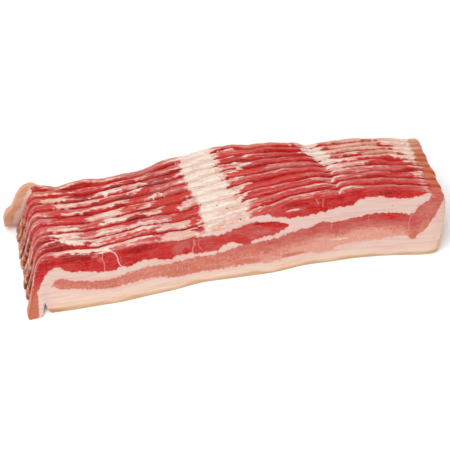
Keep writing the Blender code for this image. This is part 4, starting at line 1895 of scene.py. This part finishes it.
@dataclass
class Rasher:
    """One rasher: its fine mesh, its fields and its finish."""

    form: PileForm
    pattern: MeatPattern
    number: int
    shown_face_rows: int = 58
    hidden_face_rows: int = 14
    fields_apart: float = 37.0

    @property
    def node(self) -> str:
        """Return the name of the solid that this rasher stands for."""
        return f"slice_{self.number + 1:02d}"

    @property
    def slot(self) -> str:
        """Return the record's material slot."""
        if self.number == 0:
            return "front_rasher"
        return "back_rasher" if self.number == self.form.count - 1 else "inner_rasher"

    def build(self, relief: ReliefTree, tree: bpy.types.NodeTree,
              material: bpy.types.Material) -> bpy.types.Object:
        """Make the piece and give it its relief.

        Args:
            relief: the relief's sizes.
            tree: the relief's node tree.
            material: the meat's finish.

        Returns:
            The finished piece.
        """
        shown = self.number in (0, self.form.count - 1)
        rows = self.shown_face_rows if shown else self.hidden_face_rows
        grid = RasherGrid(self.form, self.number, rows)
        x, v, depth = grid.place.T
        world = self.form.place(x, v, depth, self.number)
        mesh = bpy.data.meshes.new(self.node + "_meat")
        mesh.from_pydata(world.tolist(), [], grid.quads.tolist())
        mesh.shade_smooth()
        self.store_fields(mesh, grid)
        piece = new_object(self.node + "_meat", mesh)
        bake_tree(piece, tree, relief.values(material))
        return piece

    def store_fields(self, mesh: bpy.types.Mesh, grid: RasherGrid) -> None:
        """Keep the layers on the mesh's points, for the relief and the finish.

        Args:
            mesh: the rasher's mesh.
            grid: the points that it was made from.
        """
        x, v, depth = grid.place.T
        hook = grid.hook_kind().value
        outer_side = SmoothLine(tuple((height, place) for place, height in hook.outer))
        below = np.maximum(grid.top_line(hook).at(x) - v, 0.0)
        at = CutPoints(x, v, depth, below, x - outer_side.at(v), self.number)
        thick = depth * self.form.thickness(x, self.number)
        cut_place = np.stack([x, v, thick + self.fields_apart * self.number], axis=-1)
        vector = mesh.attributes.new("cut_place", "FLOAT_VECTOR", "POINT")
        vector.data.foreach_set("vector", cut_place.astype(np.float32).ravel())
        for name, values in self.pattern.fields(at).items():
            attribute = mesh.attributes.new(name, "FLOAT", "POINT")
            attribute.data.foreach_set("value", values.astype(np.float32))


@dataclass(frozen=True)
class SpeckBed:
    """A stretch of some top edges with grains of pepper.

    Attributes:
        left: where it begins.
        right: where it ends.
        count: how many grains lie there.
    """

    left: float
    right: float
    count: int


@dataclass(frozen=True)
class Pepper:
    """Coarse pepper on the top edges.

    Attributes:
        radius: a middling grain's radius.
        beds: the stretches with scattered grains.
        placed: single grains by rasher, place and share of the thickness.
        seed: picks the scatter.
    """

    form: PileForm
    radius: float = 0.42
    beds: tuple[SpeckBed, ...] = (
        SpeckBed(-14.0, 10.0, 46), SpeckBed(-100.0, -15.0, 40), SpeckBed(15.0, 108.0, 14))
    placed: tuple[Triple, ...] = (
        (1, -17.7, 0.38), (0, -18.0, 0.6), (2, -4.0, 0.25), (0, 6.0, 0.1), (1, 25.0, 0.1),
        (1, 0.3, 0.9), (6, -18.8, 0.9), (7, -38.5, 0.9), (3, -67.5, 0.2), (2, -76.7, 0.9),
        (6, -81.7, 0.9), (2, -64.2, 0.4), (3, -88.2, 0.85), (0, -16.2, 0.3), (2, 93.0, 0.4))
    placed_size: float = 1.5
    scattered_size: float = 0.7
    depths: Pair = (0.1, 0.9)
    lift: float = 0.1
    seed: int = 23

    def build(self) -> bpy.types.Object:
        """Make all the grains as one piece.

        Returns:
            The piece.
        """
        random = np.random.default_rng(self.seed)
        spots = list(self.placed)
        for bed in self.beds:
            for _ in range(bed.count):
                number = random.integers(0, self.form.count)
                x = random.uniform(bed.left, bed.right)
                spots.append((number, x, random.uniform(*self.depths)))
        points = []
        for number, x, depth in spots:
            place = np.array([x])
            top = self.form.top_edge(place, int(number)) + self.lift
            points.append(self.form.place(place, top, np.array([depth]), int(number))[0].tolist())
        mesh = bpy.data.meshes.new("pepper_specks")
        mesh.from_pydata(points, [], [])
        sizes = [self.placed_size] * len(self.placed)
        sizes += [self.scattered_size] * (len(points) - len(sizes))
        mesh.attributes.new("grain_size", "FLOAT", "POINT").data.foreach_set("value", sizes)
        piece = new_object("pepper_specks", mesh)
        bake_tree(piece, SpeckTree().build(), {"Grain Radius": self.radius * MM,
                                               "Speck": SpeckFinish().build()})
        return piece


@dataclass(frozen=True)
class Softbox:
    """A round soft light that is aimed at the pile.

    Attributes:
        name: its name.
        spot: where it hangs, in metres.
        size: its width in metres.
        power: its power in watts.
    """

    name: str
    spot: Triple
    size: float
    power: float

    def build(self) -> None:
        """Hang the light."""
        light = bpy.data.lights.new(self.name, "AREA")
        light.shape = "DISK"
        light.size = self.size
        light.energy = self.power
        holder = new_object(self.name, light)
        holder.location = self.spot
        holder.rotation_euler = Vector(self.spot).to_track_quat("Z", "Y").to_euler()


@dataclass(frozen=True)
class Studio:
    """A plain pale table, soft light and the camera at the viewing angle.

    Attributes:
        elevation: degrees of the camera above the table.
        azimuth: degrees of the camera round the pile.
        distance: from the camera to the point that it is aimed at.
        lens: the lens's focal length on a sensor 36 mm wide.
    """

    form: PileForm
    elevation: float = 58.0
    azimuth: float = -10.5
    distance: float = 685.7
    lens: float = 96.0
    sensor: float = 36.0
    floor_half: float = 3.0
    floor_drop: float = 0.02
    world_strength: float = 0.6
    lights: tuple[Softbox, ...] = (
        Softbox("key_light", (-0.35, 0.1, 1.15), 0.9, 8.5),
        Softbox("fill_light", (0.5, -0.9, 0.8), 0.9, 1.1),
        Softbox("glint_light", (-0.3, -0.5, 1.0), 0.12, 0.9))

    def build(self) -> None:
        """Make the table, the lights and the camera."""
        self.table()
        self.sky()
        for light in self.lights:
            light.build()
        self.camera()

    def table(self) -> None:
        """Make the table top."""
        mesh = bpy.data.meshes.new("table_top")
        points = [(x * self.floor_half, y * self.floor_half, -self.floor_drop * MM)
                  for x, y in ((-1, -1), (1, -1), (1, 1), (-1, 1))]
        mesh.from_pydata(points, [], [(0, 1, 2, 3)])
        mesh.materials.append(FloorFinish().build())
        new_object("table_top", mesh)

    def sky(self) -> None:
        """Make the even light from all round."""
        world = bpy.data.worlds.new("soft_room")
        world.use_nodes = True
        background = world.node_tree.nodes["Background"]
        background.inputs["Color"].default_value = (1.0, 1.0, 1.0, 1.0)
        background.inputs["Strength"].default_value = self.world_strength
        bpy.context.scene.world = world

    def camera(self) -> None:
        """Make the camera."""
        azimuth, elevation = math.radians(self.azimuth), math.radians(self.elevation)
        back = Vector((math.sin(azimuth) * math.cos(elevation),
                       -math.cos(azimuth) * math.cos(elevation), math.sin(elevation)))
        aim = Vector((self.form.pile_shift[0], self.form.pile_shift[1], 0.0)) * MM
        data = bpy.data.cameras.new("camera")
        data.lens = self.lens
        data.sensor_width = self.sensor
        data.clip_start = 0.01
        holder = new_object("camera", data)
        holder.location = aim + back * self.distance * MM
        holder.rotation_euler = back.to_track_quat("Z", "Y").to_euler()
        bpy.context.scene.camera = holder


def corners(box: tuple[Vector, Vector]) -> list[list[float]]:
    """Return a box's lowest and highest corner as plain lists."""
    return [[float(value) for value in corner] for corner in box]


def main() -> None:
    """Load the frame, dress every rasher and set up the studio."""
    logging.basicConfig(level=logging.INFO, format="%(message)s")
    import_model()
    bpy.context.scene.view_settings.view_transform = "Standard"
    form = PileForm()
    pattern = MeatPattern(form)
    effects = SharedEffects()
    relief = ReliefTree()
    tree = relief.build()
    materials: dict[str, bpy.types.Material] = {}
    for number in range(form.count):
        rasher = Rasher(form, pattern, number)
        if rasher.slot not in materials:
            materials[rasher.slot] = MeatFinish(rasher.slot + "_meat", effects).build()
        piece = rasher.build(relief, tree, materials[rasher.slot])
        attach(piece, BODY)
        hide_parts(rasher.node)
        LOG.info("%s: %d faces", piece.name, len(piece.data.polygons))
    specks = Pepper(form).build()
    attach(specks, BODY)
    LOG.info("%s: %d faces", specks.name, len(specks.data.polygons))
    Studio(form).build()


if __name__ == "__main__":
    main()
